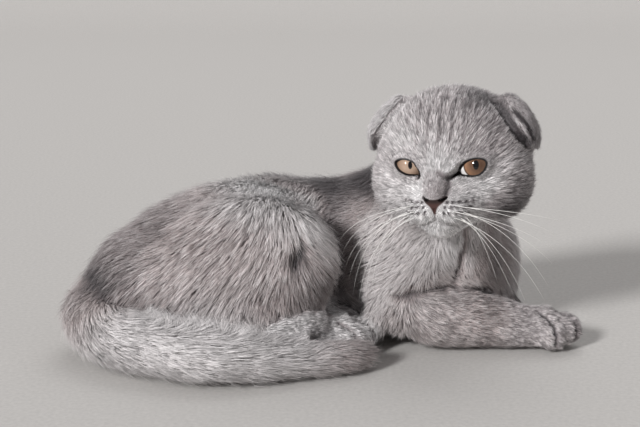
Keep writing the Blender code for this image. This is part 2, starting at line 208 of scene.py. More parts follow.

# Patches of darker or warmer coat, several of them painted shade and light: place, radii, added darkness (paler below
# nothing), added warmth
PATCHES = {
    "low_thigh_band": ((-12, -36, 36), (20, 14, 8), 0.45, 0.3),
    # The notch is partly darker undercoat in the parting and partly painted shade in it.
    "notch": ((-14, -33, 62), (5, 8, 8), 0.85, 0.2),
    "under_notch": ((-3, -30, 46), (12, 14, 11), 0.55, 0.25),
    "knee": ((0, -36, 80), (14, 14, 13), -0.5, 0.0),
    "hip_crest": ((-30, -24, 92), (28, 18, 9), -0.45, 0.0),
    "hip_shadow": ((-76, -34, 74), (30, 18, 13), 0.35, 0.3),
    "thigh_foot": ((-60, -46, 28), (30, 14, 11), -0.35, 0.0),
    # Painted shade on the flank behind the thigh.
    "behind_thigh": ((16, 14, 50), (11, 14, 36), 0.8, 0.0),
    # Painted light: the top of the hip is painted paler, as lit from above.
    "hip_top": ((-42, 15, 93), (30, 22, 12), -1.1, 0.0),
    "hip_part": ((-23, 6, 88), (18, 16, 9), -0.85, 0.0),
    "hip_front": ((-5, 21, 79), (11, 11, 11), -1.3, 0.0),
    "tail_root": ((-130, -14, 24), (24, 26, 17), 0.85, 0.35),
    "tail_end": ((16, -50, 8), (26, 20, 14), 0.75, 0.1),
    "throat": ((80, -12, 66), (18, 18, 14), -0.35, 0.1),
    # Painted shade on the far side of the breast, away from the lamp.
    "left_breast": ((106, 8, 48), (15, 22, 26), 1.2, 0.3),
    # Painted shade on the stern, away from the lamp.
    "stern": ((-124, -14, 38), (24, 26, 20), 0.25, 0.25),
    # Painted shade along the back behind the head.
    "withers": ((24, 33, 84), (32, 26, 17), 1.35, 0.2),
    # Painted shade in the fold over the forearm.
    "over_forearm": ((76, -8, 41), (26, 10, 5), 0.35, 0.3),
    "wrist": ((92, -14, 20), (14, 10, 8), 0.3, 0.2),
}
THIN = {
    "foot": ((-6, -42, 16), (24, 14, 10), 0.55),
    "tail_top": ((-6, -54, 24), (34, 12, 8), 0.45),
    "knee_fringe": ((5, -28, 72), (12, 16, 16), -0.35),
    "hip_fringe": ((-22, -22, 91), (24, 14, 8), -0.25),
}

# Face: lid openings from the eyes' centres, outer corner first and over the top, x away from the nose
LIDS = {
    -1: [(5.8, 2.0), (4.3, 3.3), (1.8, 3.9), (-1.4, 3.6), (-4.2, 2.1), (-6.2, -0.5), (-7.2, -3.2),
         (-7.6, -5.6), (-6.0, -4.9), (-3.8, -4.4), (-1.0, -4.1), (2.0, -2.9), (4.4, -0.8)],
    1: [(6.6, 2.1), (5.0, 3.7), (1.4, 4.2), (-2.8, 3.2), (-6.6, 0.7), (-9.6, -2.9), (-12.4, -5.7),
        (-9.4, -4.9), (-6.6, -5.0), (-2.6, -5.0), (1.9, -4.5), (4.9, -2.6), (6.4, -0.1)],
}
RIM_HEAVY = {-1: (0.8, -0.6), 1: (-0.8, 0.6)}  # the side on which each rim is widest, x away from the nose
IRIS = {-1: 7.8, 1: 7.2}  # radius of each iris
# Painted shading across the left iris: one side brighter, as the light falls on it through the cornea.
IRIS_SIDE_SHADE = {-1: 0.0, 1: 1.7}  # how much brighter each iris is on its right side
PUPILS = {-1: (1.05, 1.95), 1: (1.4, 2.35)}  # half width and half height
LID_THICKNESS = 0.75
RIM_THICKNESS = 1.9
GAZE_DEG = {-1: (17.0, 5.0), 1: (9.8, 5.9)}  # to the cat's left and up, from straight ahead
NOSE_TIP = (0.0, -47.0, -19.0)
NOSTRIL = (4.1, -18.7)
# Slit behind the ear flap's edge, and the fold of skin in front of it
POCKET = [(26, -8, 30.5), (31, -10.5, 25.3), (34.6, -11.8, 20.2), (38.8, -10.5, 13.2), (43, -6, 9.3)]
POCKET_FOLD = [(33.0, -13, 17.5), (37.0, -12, 11.0), (42.5, -7, 6.5)]
# Places on the left flap: the rim beside the slit, painted pale as a highlight on its ridge, and the hollow behind that
# rim, painted dark as shade
FLAP_RIM = [(102.8, -17.5, 138.8), (106.5, -20.4, 135.0), (111, -21.7, 129.8), (115.3, -19, 123.4)]
FLAP_HOLLOW = [(105.5, -17, 138.7), (109.5, -21.2, 135), (113.2, -23, 130.8), (117, -20.6, 125)]
LEATHER = [(0, -18.5), (3.2, -18.0), (5.8, -16.7), (6.8, -17.3), (5.0, -19.7), (2.4, -22.0), (1.1, -24.2), (0.5, -26.2)]
MOUTH_TOP = -29.5


# Whiskers of each side: root on the pad (x, z), tip and how far they bow forward, x away from the nose
WHISKERS = {
    -1: [
        ((9.5, -21.6), (61, -26, -45), 4), ((12.0, -22.4), (60, -24, -53), 4), ((8.6, -24.6), (57, -26, -59), 5),
        ((11.4, -25.2), (56, -24, -67), 5), ((14.2, -25.0), (54, -22, -74), 4), ((9.6, -27.8), (51, -22, -80), 5),
        ((12.6, -28.2), (42, -26, -72), 4), ((15.0, -27.6), (48, -18, -78), 4),
    ],
    1: [
        ((9.5, -21.6), (62, -24, -39), 5), ((12.0, -22.4), (64, -18, -32), 4), ((8.6, -24.6), (60, -22, -47), 6),
        ((11.4, -25.2), (59, -20, -55), 6), ((14.2, -25.0), (56, -18, -67), 6), ((9.6, -27.8), (55, -22, -75), 6),
        ((12.6, -28.2), (44, -20, -76), 5), ((15.0, -27.6), (29, -22, -65), 4), ((13.0, -29.0), (36, -16, -72), 4),
    ],
}
# Paler and darker parts of the face, some of them painted shade and light: place across and up, radii, added darkness
FACE_PATCHES = {
    "muzzle": ((0, -34), (20, 15), -1.25),
    "right_cheek": ((-28, -20), (16, 16), -0.4),
    "left_cheek": ((25, -13), (12, 12), -0.8),
    "bridge": ((0, 0), (9, 11), -0.6),
    "right_brow": ((-22, 12), (12, 8), -0.4),
    "beside_nose": ((-10, -14), (6, 6), -0.5),
    # Painted shade: the cat's left temple, jowl, crown and muzzle edge, on the side away from the lamp.
    "left_temple": ((29, 16), (9, 9), 0.4),
    "left_jowl": ((38, -20), (9, 14), 0.9),
    "left_crown": ((20, 34), (16, 10), 1.0),
    "left_muzzle_edge": ((29, -25), (7, 9), 1.0),
    # Painted light over the shadow beside the bridge of the nose.
    "beside_bridge": ((9, -4), (6, 5), -0.7),
    "chin": ((-2, -38), (13, 6), -0.8),
}
BROW_WHISKERS = [(14, 8.5, 22), (17, 9.5, 19), (20, 9.0, 16)]  # root x and z, and rise


def linear(code):
    """A hex colour as linear red, green and blue."""
    parts = [int(code[i : i + 2], 16) / 255 for i in (1, 3, 5)]
    return [c / 12.92 if c <= 0.04045 else ((c + 0.055) / 1.055) ** 2.4 for c in parts]


def colour(name, description, code):
    """A colour property with a hex default."""
    return FloatVectorProperty(name=name, description=description, subtype="COLOR", size=3, default=linear(code))


def length(name, description, size):
    """A length property with its default in millimetres."""
    return FloatProperty(name=name, description=description, default=size * MM, subtype="DISTANCE", unit="LENGTH")


class SkinSettings(bpy.types.PropertyGroup):
    """Sizes and colours of the skin."""

    voxel: length("Voxel", "Size of the cells that fuse the body", 2.1)
    swell: length("Swell", "How far the nodes grow to meet each other", 0.4)
    rounds: IntProperty(name="Smoothing", description="Rounds of smoothing of the skin", default=14)
    leather: colour("Nose leather", "Bare skin of the nose", "#452a26")
    rim: colour("Lid rim", "Bare edge of the lids", "#120d0d")


class CoatSettings(bpy.types.PropertyGroup):
    """Sizes and colours of the coat."""

    amount: FloatProperty(name="Amount", description="Share of the full number of tufts", default=0.93)
    stand: FloatProperty(name="Stand", description="Angle of the tufts' roots to the skin, in degrees", default=30.0)
    seed: IntProperty(name="Seed", description="Start of the random numbers", default=11)
    cool: colour("Cool grey", "Middle of the hair on head and feet", "#ada7a9")
    warm: colour("Warm grey", "Middle of the hair on chest and tail", "#b7a9a7")
    under: colour("Undercoat", "Foot of the hair", "#494345")
    silver: colour("Silver", "Tips of the hair", "#f3f0f0")


class EyeSettings(bpy.types.PropertyGroup):
    """Sizes and colours of the eyes."""

    amber: colour("Amber", "Right iris round the pupil", "#b39a87")
    copper: colour("Copper", "Right iris at its edge", "#917764")
    umber: colour("Umber", "Left iris round the pupil", "#604636")
    bronze: colour("Bronze", "Left iris at its edge", "#87664f")
    white: colour("White", "The white of the eye", "#d9d6d4")


class WhiskerSettings(bpy.types.PropertyGroup):
    """Sizes and colours of the whiskers."""

    thickness: length("Thickness", "Width of a whisker at its root", 0.31)
    tint: colour("Tint", "Colour of the whiskers", "#f4f2ee")


class StageSettings(bpy.types.PropertyGroup):
    """The floor, lamps and camera."""

    focal: FloatProperty(name="Focal length", description="Of the camera, in millimetres", default=78.75)
    distance: length("Distance", "Camera to the point it looks at", 800.0)
    elevation: FloatProperty(name="Elevation", description="Camera above the floor", default=math.radians(13), subtype="ANGLE")
    aim: length("Aim", "Height of the point looked at, over the layout's origin", 76.4)
    floor: colour("Floor", "Pale floor", "#bdbab7")


def body_place(place):
    """A place on the body in metres, from millimetres in the layout."""
    return LAYOUT_ORIGIN + np.asarray(place, float) * MM


def to_head(places):
    """Places in metres as millimetres from the head's centre, along its own axes."""
    return (places - HEAD_CENTRE) @ HEAD_AXES / MM


def from_head(local):
    """Places on the head in millimetres as places in metres."""
    return HEAD_CENTRE + np.asarray(local, float) @ HEAD_AXES.T * MM


def kind_of(node):
    """The key of a node in the tables of coat and pieces."""
    return node.split("_")[0]


def fade(value, start, end):
    """A smooth step from 1 at start to 0 at end."""
    t = np.clip((value - start) / (end - start), 0, 1)
    return 1 - t * t * (3 - 2 * t)


def curve_through(points, steps, closed=False):
    """A smooth curve through points, as an array."""
    rows = np.array(points, float)
    if closed:
        rows = np.vstack([rows[-1], rows, rows[:2]])
    else:
        rows = np.vstack([2 * rows[0] - rows[1], rows, 2 * rows[-1] - rows[-2]])
    t = np.linspace(0, 1, steps, endpoint=False)[:, None]
    found = []
    for before, a, b, after in zip(rows, rows[1:], rows[2:], rows[3:]):
        square = 2 * before - 5 * a + 4 * b - after
        cubic = 3 * a - before - 3 * b + after
        found.append(a + 0.5 * ((b - before) * t + square * t**2 + cubic * t**3))
    if not closed:
        found.append(rows[-2:-1])
    return np.vstack(found)


def select_only(*objs):
    """Leaves only these objects selected, the first one active."""
    bpy.ops.object.select_all(action="DESELECT")
    for obj in objs:
        obj.select_set(True)
    bpy.context.view_layer.objects.active = objs[0]


def node_copy(name):
    """A copy of a CAD node with its doubles merged."""
    obj = frame["nodes"][name].copy()
    obj.data = obj.data.copy()
    obj.parent = None
    bpy.context.scene.collection.objects.link(obj)
    obj.hide_render = False
    select_only(obj)
    bpy.ops.object.mode_set(mode="EDIT")
    bpy.ops.mesh.select_all(action="SELECT")
    bpy.ops.mesh.remove_doubles(threshold=0.00001)
    bpy.ops.object.mode_set(mode="OBJECT")
    return obj


def fuse(obj, swell, voxel):
    """Swells a mesh and makes one closed surface of its shells."""
    select_only(obj)
    grow = obj.modifiers.new("Swell", "DISPLACE")
    grow.strength = swell
    grow.mid_level = 0
    cells = obj.modifiers.new("Fuse", "REMESH")
    cells.mode = "VOXEL"
    cells.voxel_size = voxel
    for modifier in (grow, cells):
        bpy.ops.object.modifier_apply(modifier=modifier.name)


def places_of(mesh):
    """Vertex places as an array."""
    flat = np.empty(len(mesh.vertices) * 3, np.float32)
    mesh.vertices.foreach_get("co", flat)
    return flat.reshape(-1, 3).astype(float)


def normals_of(mesh):
    """Vertex normals as an array."""
    flat = np.empty(len(mesh.vertices) * 3, np.float32)
    mesh.vertex_normals.foreach_get("vector", flat)
    return flat.reshape(-1, 3).astype(float)


def edges_of(mesh):
    """Vertex pairs of the edges as an array."""
    flat = np.empty(len(mesh.edges) * 2, np.int32)
    mesh.edges.foreach_get("vertices", flat)
    return flat.reshape(-1, 2)


def set_places(mesh, places):
    """Moves the vertices of a mesh."""
    mesh.vertices.foreach_set("co", places.astype(np.float32).ravel())
    mesh.update()


def spread(values, edges, rounds, weight=1.0):
    """Evens out one number or vector per vertex along the edges."""
    values = np.array(values, float)
    table = values.reshape(len(values), -1)
    weight = np.broadcast_to(np.asarray(weight, float).reshape(-1, 1), (len(values), 1))
    neighbours = np.maximum(np.bincount(edges.ravel(), minlength=len(values)), 1)[:, None]
    for _ in range(rounds):
        total = np.empty_like(table)
        for i in range(table.shape[1]):
            first = np.bincount(edges[:, 0], table[edges[:, 1], i], len(table))
            total[:, i] = first + np.bincount(edges[:, 1], table[edges[:, 0], i], len(table))
        table = table + 0.5 * weight * (total / neighbours - table)
    return table.reshape(values.shape)


def unit(vectors):
    """Vectors of length one."""
    return vectors / np.maximum(np.linalg.norm(vectors, axis=-1, keepdims=True), 1e-9)


def nearest_nodes(places, nodes):
    """For each place the name of the nearest node."""
    rows, owners = [], []
    for name in nodes:
        mesh = frame["nodes"][name].data
        corners = places_of(mesh)
        middles = np.empty(len(mesh.polygons) * 3, np.float32)
        mesh.polygons.foreach_get("center", middles)
        both = np.vstack([corners, middles.reshape(-1, 3)])
        rows.append(both)
        owners += [name] * len(both)
    tree = KDTree(len(owners))
    for i, row in enumerate(np.vstack(rows)):
        tree.insert(row, i)
    tree.balance()
    return np.array([owners[tree.find(place)[1]] for place in places])


def nearest_kinds(places):
    """For each place the kind of the nearest node, the foot under the thigh counted as a foot."""
    kinds = np.array([kind_of(name) for name in nearest_nodes(places, FLESH + EARS)])
    layout = (places - LAYOUT_ORIGIN) / MM
    top = np.interp(layout[:, 0], *zip(*FOOT_TOP))
    in_reach = (layout[:, 0] > FOOT_TOP[0][0]) & (layout[:, 0] < FOOT_TOP[-1][0]) & (layout[:, 1] < -18)
    kinds[(kinds == "thigh") & in_reach & (layout[:, 2] < top)] = "hind"
    return kinds


def outline_distance(x, z, outline):
    """Distance to a closed outline, less than nothing inside it."""
    a = outline
    b = np.roll(outline, -1, axis=0)
    best = np.full(len(x), np.inf)
    crossings = np.zeros(len(x), int)
    for (ax, az), (bx, bz) in zip(a, b):
        dx, dz = bx - ax, bz - az
        t = np.clip(((x - ax) * dx + (z - az) * dz) / max(dx * dx + dz * dz, 1e-9), 0, 1)
        best = np.minimum(best, np.hypot(x - ax - t * dx, z - az - t * dz))
        spans = (az > z) != (bz > z)
        at = ax + (z - az) * dx / (dz if abs(dz) > 1e-9 else 1e-9)
        crossings += spans & (x < at)
    return np.where(crossings % 2 == 1, -best, best)


def lid_distance(local, sign):
    """Distance of face places to the lid opening on one side, far off where they aren't on the face."""
    x = sign * local[:, 0] - EYE_CENTRE[0]
    z = local[:, 2] - EYE_CENTRE[2]
    found = np.full(len(local), 99.0)
    near = (np.hypot(x, z) < 24) & (local[:, 1] < 0)
    found[near] = outline_distance(x[near], z[near], curve_through(LIDS[sign], 5, closed=True))
    return found


def leather_distance(local):
    """Distance from the bare nose leather across the face, less than nothing on it."""
    other_side = [(-x, z) for x, z in LEATHER[:0:-1]]
    outline = curve_through(LEATHER + other_side, 4, closed=True)
    found = np.full(len(local), 99.0)
    near = (local[:, 1] < -30) & (np.abs(local[:, 0]) < 20) & (local[:, 2] < 0)
    found[near] = outline_distance(local[near, 0], local[near, 2], outline)
    return found


def nostril_distance(local):
    """Distance from the comma of each nostril, in its own widths."""
    x, z = np.abs(local[:, 0]), local[:, 2]
    hole = np.hypot((x - NOSTRIL[0]) / 1.5, z - NOSTRIL[1])
    slit_x = np.clip(x, NOSTRIL[0], NOSTRIL[0] + 2.2)
    slit = np.hypot(x - slit_x, z - NOSTRIL[1] - 0.5 * (slit_x - NOSTRIL[0])) / 0.75
    return np.where(local[:, 1] < -34, np.minimum(hole, slit), 99.0)


def mouth_distance(local):
    """Distance from the line of the mouth and the groove under the nose, seen from the front."""
    x, z = np.abs(local[:, 0]), local[:, 2]
    line = MOUTH_TOP - 3.2 * np.sin(np.clip(x / 13.0, 0, 1) * math.pi * 0.75)
    across = np.where(x < 13, np.abs(z - line), np.hypot(x - 13, z - line))
    groove = np.where((z < LEATHER[-1][1] + 3) & (z > MOUTH_TOP), x, np.inf)
    return np.where(local[:, 1] < -18, np.minimum(across, groove), 99.0)


def bulge(local, middle, radii, height):
    """How far a soft swelling lifts each face place along its normal."""
    reach = (((local - np.array(middle)) / np.array(radii)) ** 2).sum(axis=1)
    return height * np.exp(-reach)


def gap(local, line):
    """Distance of each face place to a curve through some places."""
    curve = curve_through(line, 6)
    found = np.full(len(local), 99.0)
    near = np.linalg.norm(local - curve.mean(axis=0), axis=1) < 24
    found[near] = np.linalg.norm(local[near, None] - curve[None], axis=2).min(axis=1)
    return found


def ear_pockets(local):
    """Distances to the slit behind each ear flap's edge, and to the fold in front of it."""
    sides = np.sign(local[:, :1]) * np.array([[1.0, 0.0, 0.0]]) + np.array([[0.0, 1.0, 1.0]])
    mirrored = local * sides
    return gap(mirrored, POCKET), gap(mirrored, POCKET_FOLD)


def shape_face(local, normals):
    """Lids, nose, pads, mouth and chin, pressed into the face. Both arrays are along the head's axes."""
    local = local.copy()
    lift = bulge(local, (0, -42, -12.8), (4.6, 9, 5.4), 2.2)
    lift -= bulge(local, (6.2, -37, -13), (2.0, 9, 7), 1.2) + bulge(local, (-6.2, -37, -13), (2.0, 9, 7), 1.2)
    lift += bulge(local, (7.2, -40, -26), (5, 9, 4.6), 1.3) + bulge(local, (-7.2, -40, -26), (5, 9, 4.6), 1.3)
    lift += bulge(local, (0, -33, -38), (7, 10, 4.6), 1.0)
    lift += bulge(local, (0, -38, -23), (3.4, 9, 3.2), 0.6)
    slit, fold = ear_pockets(local)
    lift += 1.5 * np.exp(-((fold / 1.5) ** 2)) - 2.6 * np.exp(-((slit / 2.0) ** 2))
    local += normals * lift[:, None]
    for sign in (-1, 1):
        x = sign * local[:, 0] - EYE_CENTRE[0]
        z = local[:, 2] - EYE_CENTRE[2]
        distance = lid_distance(local, sign)
        reach = np.maximum(x * x + z * z, 0)
        lid = EYE_RADIUS + LID_THICKNESS
        front = EYE_CENTRE[1] - np.sqrt(np.maximum(lid**2 - reach, 3.4**2))
        back = EYE_CENTRE[1] - np.sqrt(np.maximum((EYE_RADIUS - 1.4) ** 2 - reach, 1.0))
        end = 2.4 + 2.8 * fade(-x, 2.0, 8.0)
        share = fade(distance / end, 0.06, 1.0) * (distance > -0.25)
        above = fade(z, 1.0, -4.0)
        puff = 0.9 * above * np.exp(-(((distance - 2.2) / 1.4) ** 2))
        local[:, 1] += share * (front - local[:, 1]) - puff * (distance < 20)
        inside = distance <= -0.25
        local[inside, 1] = back[inside]
    local -= normals * (2.4 * fade(nostril_distance(local), 0.5, 1.25))[:, None]
    groove = mouth_distance(local)
    local -= normals * (0.9 * np.exp(-((groove / 0.8) ** 2)))[:, None]
    return local


def tree_of(places):
    """A search tree of places."""
    tree = KDTree(len(places))
    for i, place in enumerate(places):
        tree.insert(place, i)
    tree.balance()
    return tree


def laid(tree, spots):
    """Each spot moved to the nearest place of a tree, such as the skin's."""
    return np.array([tree.find(spot)[0] for spot in spots])


def line_distances(places, lines, reach):
    """Distance of each place to the nearest of some lines, once they are laid on the skin, in millimetres."""
    tree = tree_of(places)
    found = np.full(len(places), 99.0)
    for line in lines:
        near = np.linalg.norm(places - line.mean(axis=0), axis=1) < reach * MM
        apart = np.linalg.norm(places[near, None] - laid(tree, line)[None], axis=2).min(axis=1) / MM
        found[near] = np.minimum(found[near], apart)
    return found


def toe_lines():
    """The clefts between the toes of every foot."""
    lines = []
    for ball, heading in FEET.values():
        turn = np.array(Matrix.Rotation(math.radians(heading), 3, "Z"))
        lines += [body_place(np.array(ball) + curve_through(cleft, 6) @ turn.T) for cleft in TOE_CLEFTS]
    return lines


def lie_guides(tree):
    """Places on the skin along the runs of hair and the way it points there."""
    places, ways = [], []
    for run in LIE.values():
        curve = laid(tree, LAYOUT_ORIGIN + curve_through(run, 6) * MM)
        places.append(curve[:-1])
        ways.append(np.diff(curve, axis=0))
    return np.vstack(places), unit(np.vstack(ways))


def hair_ways(places, kinds, tree):
    """The way that the hair points at each place, not yet laid along the skin."""
    guides, ways = lie_guides(tree)
    found = np.zeros_like(places)
    for start in range(0, len(places), 4000):
        part = slice(start, start + 4000)
        apart = ((places[part, None] - guides[None]) ** 2).sum(axis=2) / (LIE_REACH * MM) ** 2
        pull = np.exp(-apart) + 1e-4 / (1e-3 + apart**2)
        found[part] = pull @ ways
    found = unit(found)
    away = places - laid(tree, [body_place(WHORL)])
    near = np.exp(-((np.linalg.norm(away, axis=1) / WHORL_REACH / MM) ** 2))
    found = unit(found + 1.1 * near[:, None] * unit(away))
    head = np.isin(kinds, ("head", "ear"))
    local = to_head(places[head])
    radial = unit(local - np.array(NOSE_TIP)) @ HEAD_AXES.T
    share = fade(local[:, 1], 0, 22)[:, None]
    found[head] = unit(share * radial + (1 - share) * found[head])
    return found


def patch_values(places, tree, index):
    """Sum of the soft patches' darkness (index 0) or warmth (index 1) at each place."""
    total = np.zeros(len(places))
    for place, radii, *amounts in PATCHES.values():
        reach = (((places - laid(tree, [body_place(place)])) / (np.array(radii) * MM)) ** 2).sum(axis=1)
        total += amounts[index] * np.exp(-reach)
    return total


def face_darkness(local):
    """Faint upright ticking on the forehead, dark lid corners, nose and dots, the pale lower face, and painted shade
    and light: on the side away from the lamp, round the nose bulb and at the ear slits.
    """
    x, y, z = local.T
    on_front = fade(y, -8, 6)
    forehead = on_front * np.exp(-(((z - 20) / 12) ** 2)) * np.exp(-((x / 18) ** 2))
    total = forehead * 1.0 * np.clip(np.cos(x * 1.05 + 0.5 * np.sin(z * 0.3)), 0, 1) ** 2
    row = np.round((z + 22.6) / 2.6)
    column = np.round((np.abs(x) - 8.5 - 0.8 * row) / 2.7)
    dot = np.hypot(z + 22.6 - row * 2.6, np.abs(x) - 8.5 - 0.8 * row - column * 2.7)
    on_pad = (np.abs(row) <= 1) & (column >= -1) & (column <= 3) & (y < -30)
    total += 2.5 * on_pad * fade(dot, 0.5, 1.1)
    for sign in (-1, 1):
        corner = np.hypot(sign * x - EYE_CENTRE[0] - LIDS[sign][7 if sign < 0 else 6][0], z + 8.0)
        total += 1.6 * fade(corner, 0.6, 1.9) * (y < -20)
    # The ring round the nose bulb is partly its own dark edge and partly painted shade, heavier on the cat's left side,
    # away from the lamp.
    from_bulb = np.hypot(x / 5.2, (z + 12.5) / 6.2)
    total += (0.5 * fade(from_bulb, 0.7, 1.1) + np.where(x > 0, 1.4, 0.5) * np.exp(-(((from_bulb - 1.2) / 0.2) ** 2))) * (y < -33)
    total += 0.95 * np.exp(-((mouth_distance(local) / 0.6) ** 2))
    for (across, up), (wide, high), amount in FACE_PATCHES.values():
        total += amount * on_front * np.exp(-(((x - across) / wide) ** 2) - ((z - up) / high) ** 2)
    # Painted shade in the slit behind each ear flap, strong on the cat's left side, away from the lamp, and a painted
    # highlight on the fold of skin in front of it.
    slit, fold = ear_pockets(local)
    slit_shading = np.where(x > 0, 1.0, -0.15)
    return total + slit_shading * (2.4 * fade(slit, 1.8, 4.4) - 0.6 * fade(fold, 0.4, 1.6))


def store(mesh, name, values):
    """Keeps one number or vector per vertex on a mesh."""
    kind = "FLOAT" if values.ndim == 1 else "FLOAT_VECTOR"
    field = "value" if values.ndim == 1 else "vector"
    layer = mesh.attributes.new(name, kind, "POINT")
    layer.data.foreach_set(field, values.astype(np.float32).ravel())


def read(mesh, name, width=1):
    """Reads back what store kept."""
    flat = np.empty(len(mesh.vertices) * width, np.float32)
    mesh.attributes[name].data.foreach_get("value" if width == 1 else "vector", flat)
    return flat.astype(float) if width == 1 else flat.reshape(-1, width).astype(float)


def dress_skin(mesh, kinds, clefts, creases):
    """Stores the coat's length, width, density, way, warmth and darkness on the skin."""
    places = places_of(mesh)
    normals = normals_of(mesh)
    edges = edges_of(mesh)
    local = to_head(places)
    table = np.array([COAT_OF[kind] for kind in kinds])
    table = spread(table, edges, 10)
    table = spread(table, edges, 30, fade(-places[:, 1] / MM, -12, 0))
    head = np.isin(kinds, ("head", "ear"))
    from_nose = np.linalg.norm(local - np.array(NOSE_TIP), axis=1)
    face = np.where(head, fade(from_nose, 14, 58), 0)
    eye = np.minimum(lid_distance(local, -1), lid_distance(local, 1))
    bare = np.minimum(eye - 0.6, leather_distance(local) - 0.2)
    short = 1 - 0.5 * face
    short = short * np.where(head, 1 - 0.6 * fade(np.minimum(eye, leather_distance(local)), 0.5, 7), 1)
    tree = tree_of(places)
    thin = np.zeros(len(places))
    for place, radii, amount in THIN.values():
        reach = (((places - laid(tree, [body_place(place)])) / (np.array(radii) * MM)) ** 2).sum(axis=1)
        thin += amount * np.exp(-reach)
    short = short * (1 - 0.5 * fade(clefts, 0.4, 2.6)) * (1 - 0.5 * fade(creases, 1.0, 4.5)) * (1 - np.clip(thin, -0.5, 0.7))
    bulb = np.hypot(local[:, 0] / 5.2, (local[:, 2] + 12.5) / 6.2)
    short = short * np.where(head & (local[:, 1] < -33), 1 - 0.4 * fade(bulb, 0.8, 1.4), 1)
    slit, _ = ear_pockets(local)
    short = short * np.where(head, 1 - 0.72 * fade(slit, 2.6, 9.0), 1)
    store(mesh, "coat_length", table[:, 1] * short)
    store(mesh, "speckle", table[:, 6])
    store(mesh, "coat_width", table[:, 2] * (1 - 0.25 * face))
    dense = table[:, 3] * (1 + 0.75 * face) * (bare > 0) * (places[:, 2] > 1.5 * MM)
    under = (normals[:, 2] < -0.85) & (places[:, 2] < 14 * MM)
    store(mesh, "coat_density", dense * ~under)
    ways = spread(hair_ways(places, kinds, tree), edges, 8)
    ways -= normals * (ways * normals).sum(axis=1, keepdims=True)
    store(mesh, "coat_way", unit(ways))
    dark = table[:, 5] + patch_values(places, tree, 0) + np.where(head, face_darkness(local), 0)
    # Painted shade in the clefts between the toes and along the coat's creases.
    dark += 1.6 * fade(clefts, 0.4, 2.2) + 1.0 * fade(creases, 1.0, 3.8)
    store(mesh, "darkness", np.clip(dark, -1, 1))
    store(mesh, "warmth", np.clip(table[:, 4] + patch_values(places, tree, 1), 0, 1))
    leather = np.where(head, fade(leather_distance(local), -0.3, 0.5), 0)
    top = 0.7 * leather * fade(-local[:, 2], 19.4, 21.6)
    # The lids' edges are dark bare skin; the nostril openings are painted near-black as the shade inside them.
    rim = np.where(head, np.maximum(np.maximum(fade(eye, 0.5, 1.3), top), fade(nostril_distance(local), 0.6, 1.3)), 0)
    store(mesh, "leather", leather)
    store(mesh, "rim", rim)


def coat_depth(kinds, local, edges):
    """How far the skin lies under the coat's tips, in millimetres."""
    depth = np.array([COAT_OF[kind][0] for kind in kinds])
    head = kinds == "head"
    from_nose = np.linalg.norm(local - np.array(NOSE_TIP), axis=1)
    depth = np.where(head, depth * (1 - 0.7 * fade(from_nose, 12, 54)), depth)
    return spread(depth, edges, 4)


def subdivide_where(obj, test):
    """Halves the edges of the faces whose middles pass a test."""
    select_only(obj)
    bpy.ops.object.mode_set(mode="EDIT")
    bpy.ops.mesh.select_mode(type="FACE")
    bpy.ops.mesh.select_all(action="DESELECT")
    bpy.ops.object.mode_set(mode="OBJECT")
    middles = np.empty(len(obj.data.polygons) * 3, np.float32)
    obj.data.polygons.foreach_get("center", middles)
    obj.data.polygons.foreach_set("select", test(middles.reshape(-1, 3).astype(float)))
    bpy.ops.object.mode_set(mode="EDIT")
    bpy.ops.mesh.subdivide(number_cuts=1)
    bpy.ops.object.mode_set(mode="OBJECT")


def on_face(places):
    """The part of the head with the features."""
    local = to_head(places)
    x, y, z = np.abs(local[:, 0]), local[:, 1], local[:, 2]
    slit, fold = ear_pockets(local)
    return ((x < 34) & (y < -8) & (z > -44) & (z < 16)) | (np.minimum(slit, fold) < 6)


def on_features(places):
    """The lids, nose and mouth."""
    local = to_head(places)
    x, y, z = np.abs(local[:, 0]), local[:, 1], local[:, 2]
    eyes = (x > 6) & (x < 29) & (z > -11) & (z < 8)
    muzzle = (x < 14) & (z < -12) & (z > -34)
    return (y < -18) & (eyes | muzzle)


def on_nose(places):
    """The nose and the lid edges."""
    local = to_head(places)
    x, y, z = np.abs(local[:, 0]), local[:, 1], local[:, 2]
    near_lids = np.minimum(np.abs(lid_distance(local, -1)), np.abs(lid_distance(local, 1))) < 1.4
    return (y < -20) & (((x < 8.5) & (z < -15) & (z > -29) & (y < -34)) | near_lids)


def on_feet(places):
    """The toes of all four feet."""
    found = np.zeros(len(places), bool)
    for ball, heading in FEET.values():
        turn = np.array(Matrix.Rotation(math.radians(heading), 3, "Z"))
        local = (places - body_place(ball)) @ turn / MM
        found |= (np.linalg.norm(local, axis=1) < 31) & (local[:, 0] > -6)
    return found


